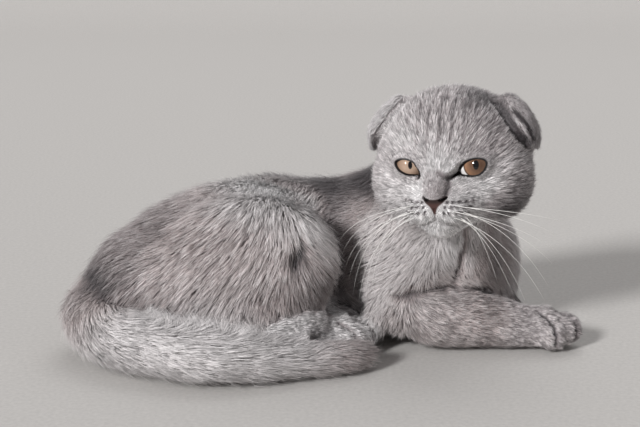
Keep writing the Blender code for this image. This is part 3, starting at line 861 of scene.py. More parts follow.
def make_skin(settings):
    """One closed skin under the coat, with the face and toes shaped on it."""
    copies = [node_copy(name) for name in (*FLESH, *EYES, *EARS)]
    select_only(*copies)
    bpy.ops.object.join()
    skin = copies[0]
    skin.name = "skin"
    skin.data.name = "skin"
    fuse(skin, settings.swell, settings.voxel)
    mesh = skin.data
    edges = edges_of(mesh)
    kinds = nearest_kinds(places_of(mesh))
    firmness = spread(np.array([FIRM.get(kind, 1.0) for kind in kinds]), edges, 4)
    set_places(mesh, spread(places_of(mesh), edges, settings.rounds, firmness))
    depth = coat_depth(kinds, to_head(places_of(mesh)), edges) + settings.swell / MM
    set_places(mesh, places_of(mesh) - normals_of(mesh) * depth[:, None] * MM)
    set_places(mesh, spread(places_of(mesh), edges, 3, firmness))
    for test in (on_feet, on_face, on_features, on_nose):
        subdivide_where(skin, test)
        edges = edges_of(mesh)
        set_places(mesh, spread(places_of(mesh), edges, 4, test(places_of(mesh)).astype(float)))
    local = shape_face(to_head(places_of(mesh)), normals_of(mesh) @ HEAD_AXES)
    set_places(mesh, from_head(local))
    places = places_of(mesh)
    clefts = line_distances(places, toe_lines(), 30)
    creases = line_distances(places, [body_place(curve_through(line, 8)) for line in CREASES.values()], 60)
    press = CLEFT_DEPTH * np.exp(-((clefts / CLEFT_WIDTH) ** 2)) - 0.8 * np.exp(-(((clefts - 3.6) / 1.6) ** 2))
    press += CREASE_DEPTH * np.exp(-((creases / CREASE_WIDTH) ** 2))
    places -= normals_of(mesh) * press[:, None] * MM
    places[:, 2] = np.maximum(places[:, 2], 0.3 * MM)
    set_places(mesh, places)
    select_only(skin)
    bpy.ops.object.mode_set(mode="EDIT")
    bpy.ops.mesh.select_all(action="SELECT")
    bpy.ops.mesh.quads_convert_to_tris()
    bpy.ops.object.mode_set(mode="OBJECT")
    bpy.ops.object.shade_smooth()
    dress_skin(mesh, nearest_kinds(places), clefts, creases)
    return skin


def make_ear(node):
    """The folded ear flap under its coat, fine enough to carry tufts."""
    ear = node_copy(node)
    ear.name = node.replace("ear", "ear_flap")
    ear.data.name = ear.name
    fuse(ear, -0.45 * MM, 0.8 * MM)
    mesh = ear.data
    edges = edges_of(mesh)
    set_places(mesh, spread(places_of(mesh), edges, 6))
    select_only(ear)
    bpy.ops.object.mode_set(mode="EDIT")
    bpy.ops.mesh.select_all(action="SELECT")
    bpy.ops.mesh.quads_convert_to_tris()
    bpy.ops.object.mode_set(mode="OBJECT")
    bpy.ops.object.shade_smooth()
    sign = 1 if node.endswith("left") else -1
    places = places_of(mesh)
    normals = normals_of(mesh)
    radial = unit(to_head(places) - np.array((0, 8, 6)))
    facing = ((normals @ HEAD_AXES) * radial).sum(axis=1)
    outer = 1 - fade(facing, -0.45, 0.05)
    way = np.array((sign * 0.6, -0.4, -0.7)) @ HEAD_AXES.T
    ways = np.broadcast_to(way, places.shape) - normals * (normals @ way)[:, None]
    store(mesh, "coat_way", unit(ways))
    store(mesh, "coat_length", 2.2 + 2.2 * outer)
    store(mesh, "coat_width", np.full(len(places), 0.32))
    store(mesh, "coat_density", 1.0 + 3.4 * outer)
    rim = line_distances(places, [body_place(curve_through(FLAP_RIM, 8))], 60)
    hollow = line_distances(places, [body_place(curve_through(FLAP_HOLLOW, 8))], 60)
    # Painted highlight along the flap's rim and painted shade in the hollow behind it.
    rim_highlight_and_hollow_shade = 1.7 * np.exp(-((hollow / 1.4) ** 2)) - 1.3 * np.exp(-((rim / 1.1) ** 2))
    # Painted shade and light by side: the flap's underside is painted dark on the cat's left ear, away from the lamp,
    # and the outside of the right ear is painted paler, as lit.
    underside_shading, outside_shading = (0.7, 0.1) if sign > 0 else (0.0, -0.5)
    store(mesh, "darkness", underside_shading * (1 - outer) + outside_shading * outer + rim_highlight_and_hollow_shade)
    store(mesh, "warmth", np.full(len(places), 0.3))
    store(mesh, "speckle", np.full(len(places), 0.9))
    store(mesh, "leather", np.zeros(len(places)))
    store(mesh, "rim", np.zeros(len(places)))
    return ear


def patch_mesh(skin, chosen):
    """Unwraps the chosen triangles of a skin by their own shape. Returns their numbers and corner UVs."""
    mesh = skin.data.copy()
    obj = bpy.data.objects.new("patch", mesh)
    bpy.context.scene.collection.objects.link(obj)
    layer = mesh.attributes.new("number", "INT", "FACE")
    layer.data.foreach_set("value", np.arange(len(mesh.polygons), dtype=np.int32))
    shell = bmesh.new()
    shell.from_mesh(mesh)
    bmesh.ops.delete(shell, geom=[face for face, keep in zip(shell.faces, chosen) if not keep], context="FACES")
    shell.to_mesh(mesh)
    shell.free()
    select_only(obj)
    bpy.ops.object.mode_set(mode="EDIT")
    bpy.ops.mesh.select_all(action="SELECT")
    bpy.ops.uv.smart_project(angle_limit=math.radians(66), island_margin=0.006)
    bpy.ops.object.mode_set(mode="OBJECT")
    numbers = np.empty(len(mesh.polygons), np.int32)
    mesh.attributes["number"].data.foreach_get("value", numbers)
    corners = np.empty(len(mesh.loops) * 2, np.float32)
    mesh.uv_layers.active.data.foreach_get("uv", corners)
    bpy.data.objects.remove(obj)
    return numbers, corners.reshape(-1, 3, 2).astype(float)


def tuft_mesh(name, roots, mids, tips, sides, ups, facing, uv, fields):
    """Closed tufts: a root point, a triangle at the middle and a tip for each."""
    count = len(roots)
    places = np.empty((count, 5, 3))
    places[:, 0] = roots
    places[:, 1] = mids + sides
    places[:, 2] = mids - sides
    places[:, 3] = mids + ups
    places[:, 4] = tips
    pattern = np.array([(0, 3, 1), (0, 2, 3), (0, 1, 2), (4, 1, 3), (4, 3, 2), (4, 2, 1)])
    faces = (pattern[None] + 5 * np.arange(count)[:, None, None]).reshape(-1, 3)
    mesh = bpy.data.meshes.new(name)
    mesh.vertices.add(count * 5)
    mesh.vertices.foreach_set("co", places.astype(np.float32).ravel())
    mesh.loops.add(len(faces) * 3)
    mesh.loops.foreach_set("vertex_index", faces.astype(np.int32).ravel())
    mesh.polygons.add(len(faces))
    mesh.polygons.foreach_set("loop_start", np.arange(len(faces), dtype=np.int32) * 3)
    mesh.update(calc_edges=True)
    spots = np.array([(0, -1.0), (-0.8, 0), (0.8, 0), (0, 0.1), (0, 1.0)]) * 0.0015
    layer = mesh.uv_layers.new(name="OFBake")
    corner_uv = (uv[:, None] + spots[None]).reshape(-1, 2)[faces.ravel()]
    layer.data.foreach_set("uv", corner_uv.astype(np.float32).ravel())
    along = np.tile([0.0, 0.45, 0.45, 0.5, 1.0], count)
    store(mesh, "along", along)
    for field, values in fields.items():
        store(mesh, field, np.repeat(values, 5))
    obj = bpy.data.objects.new(name, mesh)
    bpy.context.scene.collection.objects.link(obj)
    mesh.shade_smooth()
    soft = unit(OWN_SHARE * normals_of(mesh) + np.repeat(facing, 5, axis=0))
    mesh.normals_split_custom_set_from_vertices(soft.astype(np.float32))
    return obj


def scattered(skin, chosen, amount, rng):
    """Random places on the chosen triangles of a skin, as thick as its coat is."""
    mesh = skin.data
    places = places_of(mesh)
    corners = np.empty(len(mesh.loops), np.int32)
    mesh.loops.foreach_get("vertex_index", corners)
    corners = corners.reshape(-1, 3)
    numbers, uvs = patch_mesh(skin, chosen)
    triangles = corners[numbers]
    a, b, c = (places[triangles[:, i]] for i in range(3))
    areas = np.linalg.norm(np.cross(b - a, c - a), axis=1) / 2 / MM**2
    density = read(mesh, "coat_density")[triangles].mean(axis=1)
    expected = areas * density * amount
    count = rng.poisson(expected)
    picks = np.repeat(np.arange(len(triangles)), count)
    r = np.sqrt(rng.random(len(picks)))
    s = rng.random(len(picks))
    shares = np.stack([1 - r, r * (1 - s), r * s], axis=1)
    uv = (uvs[picks] * shares[:, :, None]).sum(axis=1)
    return triangles[picks], shares, uv


def locks(roots, number, rng):
    """Gathers the roots in locks. Returns the way to each one's lock, and its lock's random lean and tone."""
    count = max(len(roots) // number, 1)
    middles = roots[rng.choice(len(roots), count, replace=False)]
    tree = KDTree(count)
    for i, place in enumerate(middles):
        tree.insert(place, i)
    tree.balance()
    group = np.array([tree.find(place)[1] for place in roots])
    return middles[group] - roots, rng.normal(0, 1, (count, 3))[group], rng.normal(0, 1, count)[group]


def make_coat(name, skin, chosen, settings, rng):
    """Lays a coat of tufts over part of a skin."""
    mesh = skin.data
    triangles, shares, uv = scattered(skin, chosen, settings.amount, rng)

    def here(values):
        weights = shares if values.ndim == 1 else shares[:, :, None]
        return (values[triangles] * weights).sum(axis=1)

    roots = here(places_of(mesh))
    normals = unit(here(normals_of(mesh)))
    ways = here(read(mesh, "coat_way", 3))
    count = len(roots)
    gather, lean, tone = locks(roots, 16, rng)
    fine_gather, fine_lean, fine_tone = locks(roots, 5, rng)
    guard = rng.random(count) < 0.14
    size = here(read(mesh, "coat_length")) * MM * rng.uniform(0.75, 1.15, count) * (1 + 0.08 * tone + 0.1 * guard)
    width = here(read(mesh, "coat_width")) * MM * rng.uniform(0.7, 1.2, count) * (1 - 0.25 * guard)
    ways = ways + lean * 0.07 + fine_lean * 0.06 + rng.normal(0, 0.04, (count, 3))
    ways = unit(ways - normals * (ways * normals).sum(axis=1, keepdims=True))
    speckle = here(read(mesh, "speckle"))
    lift = rng.normal(1.0, 0.18, count) * np.where(guard, 1.7, 1.0)
    steep = np.radians(settings.stand) * lift
    shallow = np.radians(settings.stand * 0.3) * lift
    rise = 0.42 * size
    run = 0.58 * size
    pull = (gather * 0.2 + fine_gather * 0.26) * (size / (10 * MM))[:, None]
    mids = roots + ways * (rise * np.cos(steep))[:, None] + normals * (rise * np.sin(steep))[:, None] + 0.4 * pull
    tips = mids + ways * (run * np.cos(shallow))[:, None] + normals * (run * np.sin(shallow))[:, None] + 0.6 * pull
    floor = 0.25 * MM
    mids[:, 2] = np.maximum(mids[:, 2], floor * 1.5)
    tips[:, 2] = np.maximum(tips[:, 2], floor)
    sides = unit(np.cross(normals, ways)) * (width / 2)[:, None]
    ups = normals * (width * 0.35)[:, None]
    base = roots - normals * 0.4 * MM
    base[:, 2] = np.maximum(base[:, 2], floor)
    fields = {
        "shade": np.clip(0.5 + (0.10 * rng.normal(0, 1, count) + 0.08 * tone + 0.11 * fine_tone) * speckle, 0, 1),
        "darkness": here(read(mesh, "darkness")),
        "warmth": here(read(mesh, "warmth")),
    }
    return tuft_mesh(name, base, mids, tips, sides, ups, normals, uv, fields)


def hair_curve(name, routes, thickness, widths=None):
    """Fine hairs along smooth routes, as one mesh. They taper, unless a share of the width is given for each place."""
    data = bpy.data.curves.new(name, "CURVE")
    data.dimensions = "3D"
    data.bevel_depth = thickness / 2
    data.bevel_resolution = 1
    data.use_fill_caps = True
    for route in routes:
        line = data.splines.new("POLY")
        line.points.add(len(route) - 1)
        for i, (point, place) in enumerate(zip(line.points, route)):
            point.co = (*place, 1)
            point.radius = 1 - 0.75 * i / (len(route) - 1) if widths is None else widths[i]
    curve = bpy.data.objects.new(name, data)
    bpy.context.scene.collection.objects.link(curve)
    mesh = bpy.data.meshes.new_from_object(curve.evaluated_get(bpy.context.evaluated_depsgraph_get()))
    bpy.data.objects.remove(curve)
    shell = bmesh.new()
    shell.from_mesh(mesh)
    bmesh.ops.remove_doubles(shell, verts=shell.verts, dist=0.000005)
    bmesh.ops.recalc_face_normals(shell, faces=shell.faces)
    shell.to_mesh(mesh)
    shell.free()
    mesh.shade_smooth()
    obj = bpy.data.objects.new(name, mesh)
    bpy.context.scene.collection.objects.link(obj)
    return obj


def surface_y(skin_tree, x, z):
    """The front of the face at a place across and up the head."""
    start = from_head((x, -80, z))
    way = HEAD_AXES @ np.array((0.0, 1.0, 0.0))
    hit = skin_tree.ray_cast(Vector(start), Vector(way))
    return to_head(np.array(hit[0]))[1] if hit[0] else NOSE_TIP[1] + 6


def add_node(tree, kind, place, settings=None, links=None):
    """Adds a shader node with its settings and what its inputs are linked to."""
    node = tree.nodes.new(kind)
    node.location = place
    for key, value in (settings or {}).items():
        if isinstance(key, int) or key in node.inputs:
            node.inputs[key].default_value = value
        else:
            setattr(node, key, value)
    for key, socket in (links or {}).items():
        tree.links.new(socket, node.inputs[key])
    return node


def new_material(name):
    """An empty material with its shader and output. Returns it, its tree and the shader."""
    material = bpy.data.materials.new(name)
    material.use_nodes = True
    tree = material.node_tree
    return material, tree, tree.nodes["Principled BSDF"]


def mix(tree, place, share, first, second, blend="MIX"):
    """Adds a colour mix. Each of share, first and second is a socket or a value. Returns its result."""
    node = add_node(tree, "ShaderNodeMix", place, {"data_type": "RGBA", "blend_type": blend})
    for index, value in ((0, share), (6, first), (7, second)):
        if isinstance(value, bpy.types.NodeSocket):
            tree.links.new(value, node.inputs[index])
        elif index == 0:
            node.inputs[index].default_value = value
        else:
            node.inputs[index].default_value = (*value, 1)
    return node.outputs[2]


def maths(tree, place, operation, first, second=0.0, third=0.0):
    """Adds a math node on sockets or numbers. Returns its result."""
    node = add_node(tree, "ShaderNodeMath", place, {"operation": operation})
    for index, value in enumerate((first, second, third)):
        if isinstance(value, bpy.types.NodeSocket):
            tree.links.new(value, node.inputs[index])
        else:
            node.inputs[index].default_value = value
    return node.outputs[0]


def attribute(tree, place, name):
    """Adds an attribute node. Returns its number."""
    return add_node(tree, "ShaderNodeAttribute", place, {"attribute_name": name}).outputs["Fac"]


def coat_markings(tree, settings):
    """The grey of the hair's middle at each place: warm or cool, darker and paler patches, some of them painted shade
    and light, soft mottling.
    """
    coordinates = add_node(tree, "ShaderNodeTexCoord", (-1500, 0)).outputs["Object"]
    broad = add_node(tree, "ShaderNodeTexNoise", (-1300, 200), {"Scale": 55.0, "Detail": 3.0}, {"Vector": coordinates})
    fine = add_node(tree, "ShaderNodeTexNoise", (-1300, -50), {"Scale": 260.0, "Detail": 2.0}, {"Vector": coordinates})
    grey = mix(tree, (-1000, 300), attribute(tree, (-1300, 450), "warmth"), settings.cool, settings.warm)
    darkness = attribute(tree, (-1300, 650), "darkness")
    paleness = maths(tree, (-1100, 800), "MULTIPLY", darkness, -1.0)
    patched = mix(tree, (-800, 300), maths(tree, (-1000, 650), "MAXIMUM", darkness, 0.0), grey, settings.under)
    paled = mix(tree, (-700, 500), maths(tree, (-900, 800), "MAXIMUM", paleness, 0.0), patched, settings.silver)
    mottle = maths(tree, (-1000, 50), "MULTIPLY_ADD", broad.outputs["Fac"], 0.9, 0.15)
    mottled = maths(tree, (-800, 50), "MULTIPLY_ADD", fine.outputs["Fac"], 0.6, mottle)
    return mix(tree, (-600, 300), 0.6, paled, mottled, "MULTIPLY"), darkness


def hair_material(settings):
    """Plush coat hair: dull and soft, dark at its foot and silver at its tip."""
    # Hair is dull keratin in air: no sharp gloss, a soft bloom at grazing light, and shade at its foot.
    material, tree, shader = new_material("plush_hair")
    middle_grey, darkness = coat_markings(tree, settings)
    along = attribute(tree, (-800, -200), "along")
    shade = attribute(tree, (-800, -400), "shade")
    foot_share = maths(tree, (-500, 400), "MULTIPLY_ADD", darkness, 0.25, 0.48)
    foot = mix(tree, (-300, 300), foot_share, middle_grey, settings.under)
    rise = add_node(tree, "ShaderNodeMapRange", (-500, -200), {"From Min": 0.0, "From Max": 0.42}, {0: along}).outputs[0]
    lower = mix(tree, (-100, 200), rise, foot, middle_grey)
    top = add_node(tree, "ShaderNodeMapRange", (-500, -400), {"From Min": 0.5, "From Max": 1.0}, {0: along}).outputs[0]
    silvering = maths(tree, (-300, -300), "MULTIPLY", top, maths(tree, (-500, -600), "MULTIPLY_ADD", shade, 0.8, 0.1))
    kept = maths(tree, (-300, -500), "MULTIPLY_ADD", maths(tree, (-500, -700), "MAXIMUM", darkness, 0.0), -0.7, 1.0)
    silver = mix(tree, (100, 100), maths(tree, (-100, -300), "MULTIPLY", silvering, kept), lower, settings.silver)
    bright = maths(tree, (-100, -500), "MULTIPLY_ADD", shade, 0.9, 0.5)
    tree.links.new(mix(tree, (300, 100), 1.0, silver, bright, "MULTIPLY"), shader.inputs["Base Color"])
    shader.inputs["Roughness"].default_value = 0.62
    shader.inputs["Specular IOR Level"].default_value = 0.3
    shader.inputs["Sheen Weight"].default_value = 0.15
    shader.inputs["Sheen Roughness"].default_value = 0.5
    return material


def skin_material(coat, skin):
    """Skin with its dense undercoat, bare and pebbled on the nose, dark at the lids' edges and painted dark in the
    nostrils as shade.
    """
    # Down over skin is matt and darker than the tips, partly the undercoat's own grey and partly painted shade between
    # the tufts, so the tufts stand clear of each other.
    # The bare nose has pebbles 0.6 mm apart, which break up its moist shine.
    material, tree, shader = new_material("undercoat_and_skin")
    middle_grey, _ = coat_markings(tree, coat)
    foot = mix(tree, (-300, 300), 0.45, middle_grey, coat.under)
    leather = attribute(tree, (-600, -100), "leather")
    rim = attribute(tree, (-600, -300), "rim")
    nosed = mix(tree, (-100, 200), leather, foot, skin.leather)
    rimmed = mix(tree, (100, 200), rim, nosed, skin.rim)
    tree.links.new(rimmed, shader.inputs["Base Color"])
    coordinates = add_node(tree, "ShaderNodeTexCoord", (-1500, -600)).outputs["Object"]
    pebbles = add_node(tree, "ShaderNodeTexVoronoi", (-1200, -600), {"Scale": 1700.0}, {"Vector": coordinates})
    bump = add_node(tree, "ShaderNodeBump", (100, -300), {"Strength": 0.35, "Distance": 0.0003}, {"Height": pebbles.outputs["Distance"]})
    tree.links.new(bump.outputs[0], shader.inputs["Normal"])
    shader.inputs["Roughness"].default_value = 0.55
    return material


def eye_material(settings, name, inner, outer, iris, pupil, side_shade):
    """A living eye: wet and clear in front, an upright pupil in an amber iris with fine spokes."""
    # The cornea is a wet clear dome: one small sharp highlight over a matt iris of radial fibres.
    material, tree, shader = new_material(name)
    place = add_node(tree, "ShaderNodeUVMap", (-1600, 0), {"uv_map": "iris"}).outputs[0]
    centred = add_node(tree, "ShaderNodeVectorMath", (-1400, 0), {"operation": "SUBTRACT", 1: (0.5, 0.5, 0)}, {0: place})
    parts = add_node(tree, "ShaderNodeSeparateXYZ", (-1200, 0), None, {0: centred.outputs[0]})
    across, up = parts.outputs[0], parts.outputs[1]
    reach = add_node(tree, "ShaderNodeVectorMath", (-1200, 200), {"operation": "LENGTH"}, {0: centred.outputs[0]}).outputs["Value"]
    reach = maths(tree, (-1000, 200), "MULTIPLY", reach, 4.0)
    angle = maths(tree, (-1000, -200), "ARCTAN2", up, across)
    polar = add_node(tree, "ShaderNodeCombineXYZ", (-800, -200), None, {0: maths(tree, (-900, -300), "MULTIPLY", angle, 5.0), 1: reach})
    spokes = add_node(tree, "ShaderNodeTexNoise", (-600, -200), {"Scale": 3.4, "Detail": 4.0}, {"Vector": polar.outputs[0]})
    ramp = add_node(tree, "ShaderNodeValToRGB", (-600, 200), None, {0: reach})
    limbus = [part * 0.2 for part in outer]
    stops = ((0.0, inner), (0.4, inner), (0.8, outer), (0.93, limbus), (1.0, settings.white))
    elements = ramp.color_ramp.elements
    while len(elements) < len(stops):
        elements.new(0.5)
    for element, (position, tone) in zip(elements, stops):
        element.position = position
        element.color = (*tone, 1)
    fibre = maths(tree, (-400, -200), "MULTIPLY_ADD", spokes.outputs["Fac"], 0.9, 0.5)
    tint = mix(tree, (-200, 200), 0.6, ramp.outputs[0], fibre, "MULTIPLY")
    # Painted shading: the iris is brighter on one side, as the light falls on it.
    lit = maths(tree, (-400, -400), "MULTIPLY_ADD", across, -side_shade, 1.0)
    tint = mix(tree, (-100, 100), 1.0, tint, lit, "MULTIPLY")
    narrow, tall = (
        maths(tree, (-1000, -500), "MULTIPLY", part, 4 * iris / half) for part, half in zip((across, up), pupil)
    )
    square = maths(tree, (-600, -600), "ADD", maths(tree, (-800, -500), "MULTIPLY", narrow, narrow), maths(tree, (-800, -700), "MULTIPLY", tall, tall))
    open_share = add_node(tree, "ShaderNodeMapRange", (-400, -600), {"From Min": 0.85, "From Max": 1.25}, {0: square}).outputs[0]
    final = mix(tree, (0, 200), open_share, (0.004, 0.004, 0.005), tint)
    tree.links.new(final, shader.inputs["Base Color"])
    shader.inputs["Roughness"].default_value = 0.25
    shader.inputs["IOR"].default_value = 1.376
    shader.inputs["Specular IOR Level"].default_value = 0.0
    shader.inputs["Coat Weight"].default_value = 1.0
    shader.inputs["Coat Roughness"].default_value = 0.03
    return material


def plain_material(name, tone, roughness, gloss=0.5):
    """One soft colour with a fine noise of light and dark."""
    material, tree, shader = new_material(name)
    coordinates = add_node(tree, "ShaderNodeTexCoord", (-900, 0)).outputs["Object"]
    noise = add_node(tree, "ShaderNodeTexNoise", (-700, 0), {"Scale": 400.0, "Detail": 2.0}, {"Vector": coordinates})
    level = maths(tree, (-500, 0), "MULTIPLY_ADD", noise.outputs["Fac"], 0.3, 0.85)
    tree.links.new(mix(tree, (-300, 0), 1.0, tone, level, "MULTIPLY"), shader.inputs["Base Color"])
    shader.inputs["Roughness"].default_value = roughness
    shader.inputs["Specular IOR Level"].default_value = gloss
    return material


def finish_piece(obj, material, replaced=()):
    """Gives a piece its material and body, and hides the nodes it replaces."""
    obj.data.materials.clear()
    obj.data.materials.append(material)
    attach(obj, BODY)
    if replaced:
        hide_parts(*replaced)


class CAT_OT_skin(bpy.types.Operator):
    """Models the skin with its face, and the ear flaps"""

    bl_idname = "cat.skin"
    bl_label = "Skin"

    def execute(self, context):
        settings = context.scene.cat_skin
        material = skin_material(context.scene.cat_coat, settings)
        skin = make_skin(settings)
        finish_piece(skin, material, FLESH)
        for node in EARS:
            finish_piece(make_ear(node), material, (node,))
        return {"FINISHED"}


class CAT_OT_eyes(bpy.types.Operator):
    """Models the eyeballs and the dark rims of the lids"""

    bl_idname = "cat.eyes"
    bl_label = "Eyes"

    def execute(self, context):
        settings = context.scene.cat_eyes
        # The lid's bare edge is dark moist skin, which draws a black line round the eye.
        rim = plain_material("lid_rim", context.scene.cat_skin.rim, 0.55, 0.15)
        for node, sign in zip(EYES, (-1, 1)):
            centre = from_head((sign * EYE_CENTRE[0], *EYE_CENTRE[1:]))
            across, up = (math.radians(angle) for angle in GAZE_DEG[sign])
            gaze = Vector((math.sin(across) * math.cos(up), -math.cos(across) * math.cos(up), math.sin(up)))
            upward = Vector((0, 0, 1))
            side = gaze.cross(upward).normalized() * -1
            upright = side.cross(gaze) * -1
            select = bpy.ops.mesh.primitive_uv_sphere_add
            select(segments=64, ring_count=32, radius=EYE_RADIUS * MM)
            eye = context.active_object
            eye.name = node.replace("eye", "eyeball")
            eye.data.name = eye.name
            places = places_of(eye.data)
            bend = np.arccos(np.clip(places[:, 2] / np.linalg.norm(places, axis=1), -1, 1))
            iris = IRIS[sign] * MM
            cornea = np.arcsin(iris / (EYE_RADIUS * MM))
            bulge = 1 + 0.09 * np.clip(1 - (bend / cornea) ** 2, 0, 1)
            places *= bulge[:, None]
            layer = eye.data.uv_layers.active
            layer.name = "iris"
            corners = np.empty(len(eye.data.loops), np.int32)
            eye.data.loops.foreach_get("vertex_index", corners)
            flat = places[corners][:, :2] / bulge[corners][:, None]
            back = places[corners][:, 2] < 0
            flat[back] *= 3
            layer.data.foreach_set("uv", (0.5 + flat / iris / 4).astype(np.float32).ravel())
            axes = np.array([side, upright, gaze])
            set_places(eye.data, centre + (places @ axes) @ HEAD_AXES.T)
            shell = bmesh.new()
            shell.from_mesh(eye.data)
            bmesh.ops.recalc_face_normals(shell, faces=shell.faces)
            shell.to_mesh(eye.data)
            shell.free()
            eye.data.shade_smooth()
            inner, outer = (settings.amber, settings.copper) if sign < 0 else (settings.umber, settings.bronze)
            finish_piece(eye, eye_material(settings, f"wet_{node}", inner, outer, IRIS[sign], PUPILS[sign], IRIS_SIDE_SHADE[sign]), (node,))
            outline = curve_through(LIDS[sign], 5, closed=True)
            outline = np.vstack([outline, outline[:1]])
            reach = (outline**2).sum(axis=1)
            front = -np.sqrt(np.maximum((EYE_RADIUS + 0.3) ** 2 - reach, 3.2**2))
            ring = np.stack([sign * (outline[:, 0] + EYE_CENTRE[0]), EYE_CENTRE[1] + front, outline[:, 1] + EYE_CENTRE[2]], axis=1)
            heavy = 0.62 + 0.38 * np.clip(outline @ np.array(RIM_HEAVY[sign]) / 6, -1, 1)
            line = hair_curve(node.replace("eye", "lid_rim"), [from_head(ring)], RIM_THICKNESS * MM, heavy)
            finish_piece(line, rim)
        return {"FINISHED"}


class CAT_OT_whiskers(bpy.types.Operator):
    """Models the whiskers of the pads and brows"""

    bl_idname = "cat.whiskers"
    bl_label = "Whiskers"

    def execute(self, context):
        settings = context.scene.cat_whiskers
        # A whisker is solid keratin, so it is pale, smooth and faintly glossy.
        material = plain_material("whisker_keratin", settings.tint, 0.35)
        tree = BVHTree.FromObject(bpy.data.objects["skin"], context.evaluated_depsgraph_get())
        for side, sign in (("right", -1), ("left", 1)):
            routes = []
            for (x, z), end, bow in WHISKERS[sign]:
                start = np.array((sign * x, surface_y(tree, sign * x, z) + 0.5, z))
                finish = np.array((sign * end[0], end[1], end[2]))
                bend = start + (finish - start) * np.array((0.7, 0.1, 0.2)) + np.array((0, -bow, 0))
                t = np.linspace(0, 1, 15)[:, None]
                routes.append(from_head(start * (1 - t) ** 2 + bend * 2 * t * (1 - t) + finish * t * t))
            finish_piece(hair_curve(f"whiskers_{side}", routes, settings.thickness), material)
            brows = []
            for x, z, rise in BROW_WHISKERS:
                start = np.array((sign * x, surface_y(tree, sign * x, z) + 0.5, z))
                t = np.linspace(0, 1, 10)[:, None]
                out = np.array((sign * (x - 10) * 0.9, -9, rise))
                bend = np.array((sign * 5, 12, -4))
                brows.append(from_head(start + out * t + bend * t**2))
            finish_piece(hair_curve(f"brow_whiskers_{side}", brows, settings.thickness * 0.6), material)
        return {"FINISHED"}


class CAT_OT_coat(bpy.types.Operator):
    """Lays the coat of tufts over the skin and ears"""

    bl_idname = "cat.coat"
    bl_label = "Coat"

    def execute(self, context):
        settings = context.scene.cat_coat
        material = hair_material(settings)
        skin = bpy.data.objects["skin"]
        middles = np.empty(len(skin.data.polygons) * 3, np.float32)
        skin.data.polygons.foreach_get("center", middles)
        middles = middles.reshape(-1, 3).astype(float)
        nodes = nearest_nodes(middles, FLESH + EARS)
        local = to_head(middles)
        parts = {
            "coat_face_right": (local[:, 1] < -4) & (local[:, 0] < 0),
            "coat_face_left": (local[:, 1] < -4) & (local[:, 0] >= 0),
            "coat_crown": local[:, 1] >= -4,
        }
        rng = np.random.default_rng(settings.seed)
        for name, owners in PIECES.items():
            chosen = np.isin(nodes, owners) & parts.get(name, True)
            finish_piece(make_coat(name, skin, chosen, settings, rng), material)
        for node in EARS:
            ear = bpy.data.objects[node.replace("ear", "ear_flap")]
            everything = np.ones(len(ear.data.polygons), bool)
            coat = make_coat(node.replace("ear", "coat_ear"), ear, everything, settings, rng)
            finish_piece(coat, material)
        return {"FINISHED"}


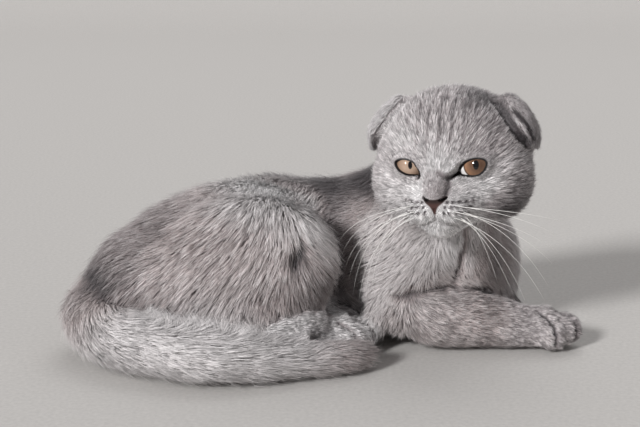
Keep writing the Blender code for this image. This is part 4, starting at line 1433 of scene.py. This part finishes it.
class CAT_OT_stage(bpy.types.Operator):
    """Sets the floor, the soft lamps and the camera"""

    bl_idname = "cat.stage"
    bl_label = "Stage"

    def execute(self, context):
        settings = context.scene.cat_stage
        target = Vector(body_place((0, 0, settings.aim / MM)))
        context.scene.view_settings.view_transform = "Standard"
        bpy.ops.mesh.primitive_plane_add(size=7, location=(0, -1.7, 0))
        floor = context.active_object
        floor.name = "floor"
        bpy.ops.object.mode_set(mode="EDIT")
        bpy.ops.mesh.select_all(action="DESELECT")
        bpy.ops.object.mode_set(mode="OBJECT")
        for edge in floor.data.edges:
            edge.select = all(floor.data.vertices[i].co.y > 1 for i in edge.vertices)
        bpy.ops.object.mode_set(mode="EDIT")
        bpy.ops.mesh.select_mode(type="EDGE")
        for angle in range(5, 100, 10):
            step = Vector((0, math.cos(math.radians(angle)), math.sin(math.radians(angle)))) * 0.3
            bpy.ops.mesh.extrude_region_move(TRANSFORM_OT_translate={"value": step})
        bpy.ops.mesh.select_all(action="SELECT")
        bpy.ops.mesh.normals_make_consistent(inside=False)
        bpy.ops.object.mode_set(mode="OBJECT")
        floor.data.shade_smooth()
        # A painted board is matt and pale, so the cat's shadow stays soft.
        floor.data.materials.append(plain_material("pale_floor", settings.floor, 0.8))
        back = Vector((0, -math.cos(settings.elevation), math.sin(settings.elevation)))
        camera = bpy.data.objects.new("camera", bpy.data.cameras.new("camera"))
        context.scene.collection.objects.link(camera)
        camera.data.lens = settings.focal
        camera.data.clip_start = 0.02
        camera.location = target + back * settings.distance
        camera.rotation_euler = (-back).to_track_quat("-Z", "Y").to_euler()
        context.scene.camera = camera
        lamps = {
            "key": ((-0.57, -0.73, 0.47), 10, 3.1),
            "fill": ((0.8, -0.5, 0.6), 60, 0.09),
            "back": ((0.2, 0.6, 1.0), 50, 0.8),
        }
        for name, (place, spread_angle, power) in lamps.items():
            lamp = bpy.data.lights.new(name, "SUN")
            lamp.angle = math.radians(spread_angle)
            lamp.energy = power
            obj = bpy.data.objects.new(name, lamp)
            context.scene.collection.objects.link(obj)
            obj.location = place
            obj.rotation_euler = (-Vector(place)).to_track_quat("-Z", "Y").to_euler()
        world = bpy.data.worlds.new("soft_room")
        context.scene.world = world
        world.use_nodes = True
        world.node_tree.nodes["Background"].inputs["Color"].default_value = (0.83, 0.82, 0.83, 1)
        world.node_tree.nodes["Background"].inputs["Strength"].default_value = 0.33
        return {"FINISHED"}


class CAT_PT_panel(bpy.types.Panel):
    """The steps that make the cat, in order"""

    bl_label = "Resting cat"
    bl_idname = "CAT_PT_panel"
    bl_space_type = "VIEW_3D"
    bl_region_type = "UI"
    bl_category = "Cat"

    def draw(self, context):
        for step in STEPS:
            self.layout.operator(f"cat.{step}")


STEPS = ("stage", "skin", "eyes", "whiskers", "coat")
GROUPS = {
    "cat_skin": SkinSettings,
    "cat_coat": CoatSettings,
    "cat_eyes": EyeSettings,
    "cat_whiskers": WhiskerSettings,
    "cat_stage": StageSettings,
}
OPERATORS = (CAT_OT_skin, CAT_OT_eyes, CAT_OT_whiskers, CAT_OT_coat, CAT_OT_stage, CAT_PT_panel)


def register():
    """Adds the settings, operators and panel."""
    for name, group in GROUPS.items():
        bpy.utils.register_class(group)
        setattr(bpy.types.Scene, name, PointerProperty(type=group))
    for kind in OPERATORS:
        bpy.utils.register_class(kind)


def unregister():
    """Takes the settings, operators and panel away."""
    for kind in reversed(OPERATORS):
        bpy.utils.unregister_class(kind)
    for name, group in GROUPS.items():
        delattr(bpy.types.Scene, name)
        bpy.utils.unregister_class(group)


def main():
    """Makes the whole model."""
    register()
    for step in STEPS:
        getattr(bpy.ops.cat, step)()


if __name__ == "__main__":
    main()
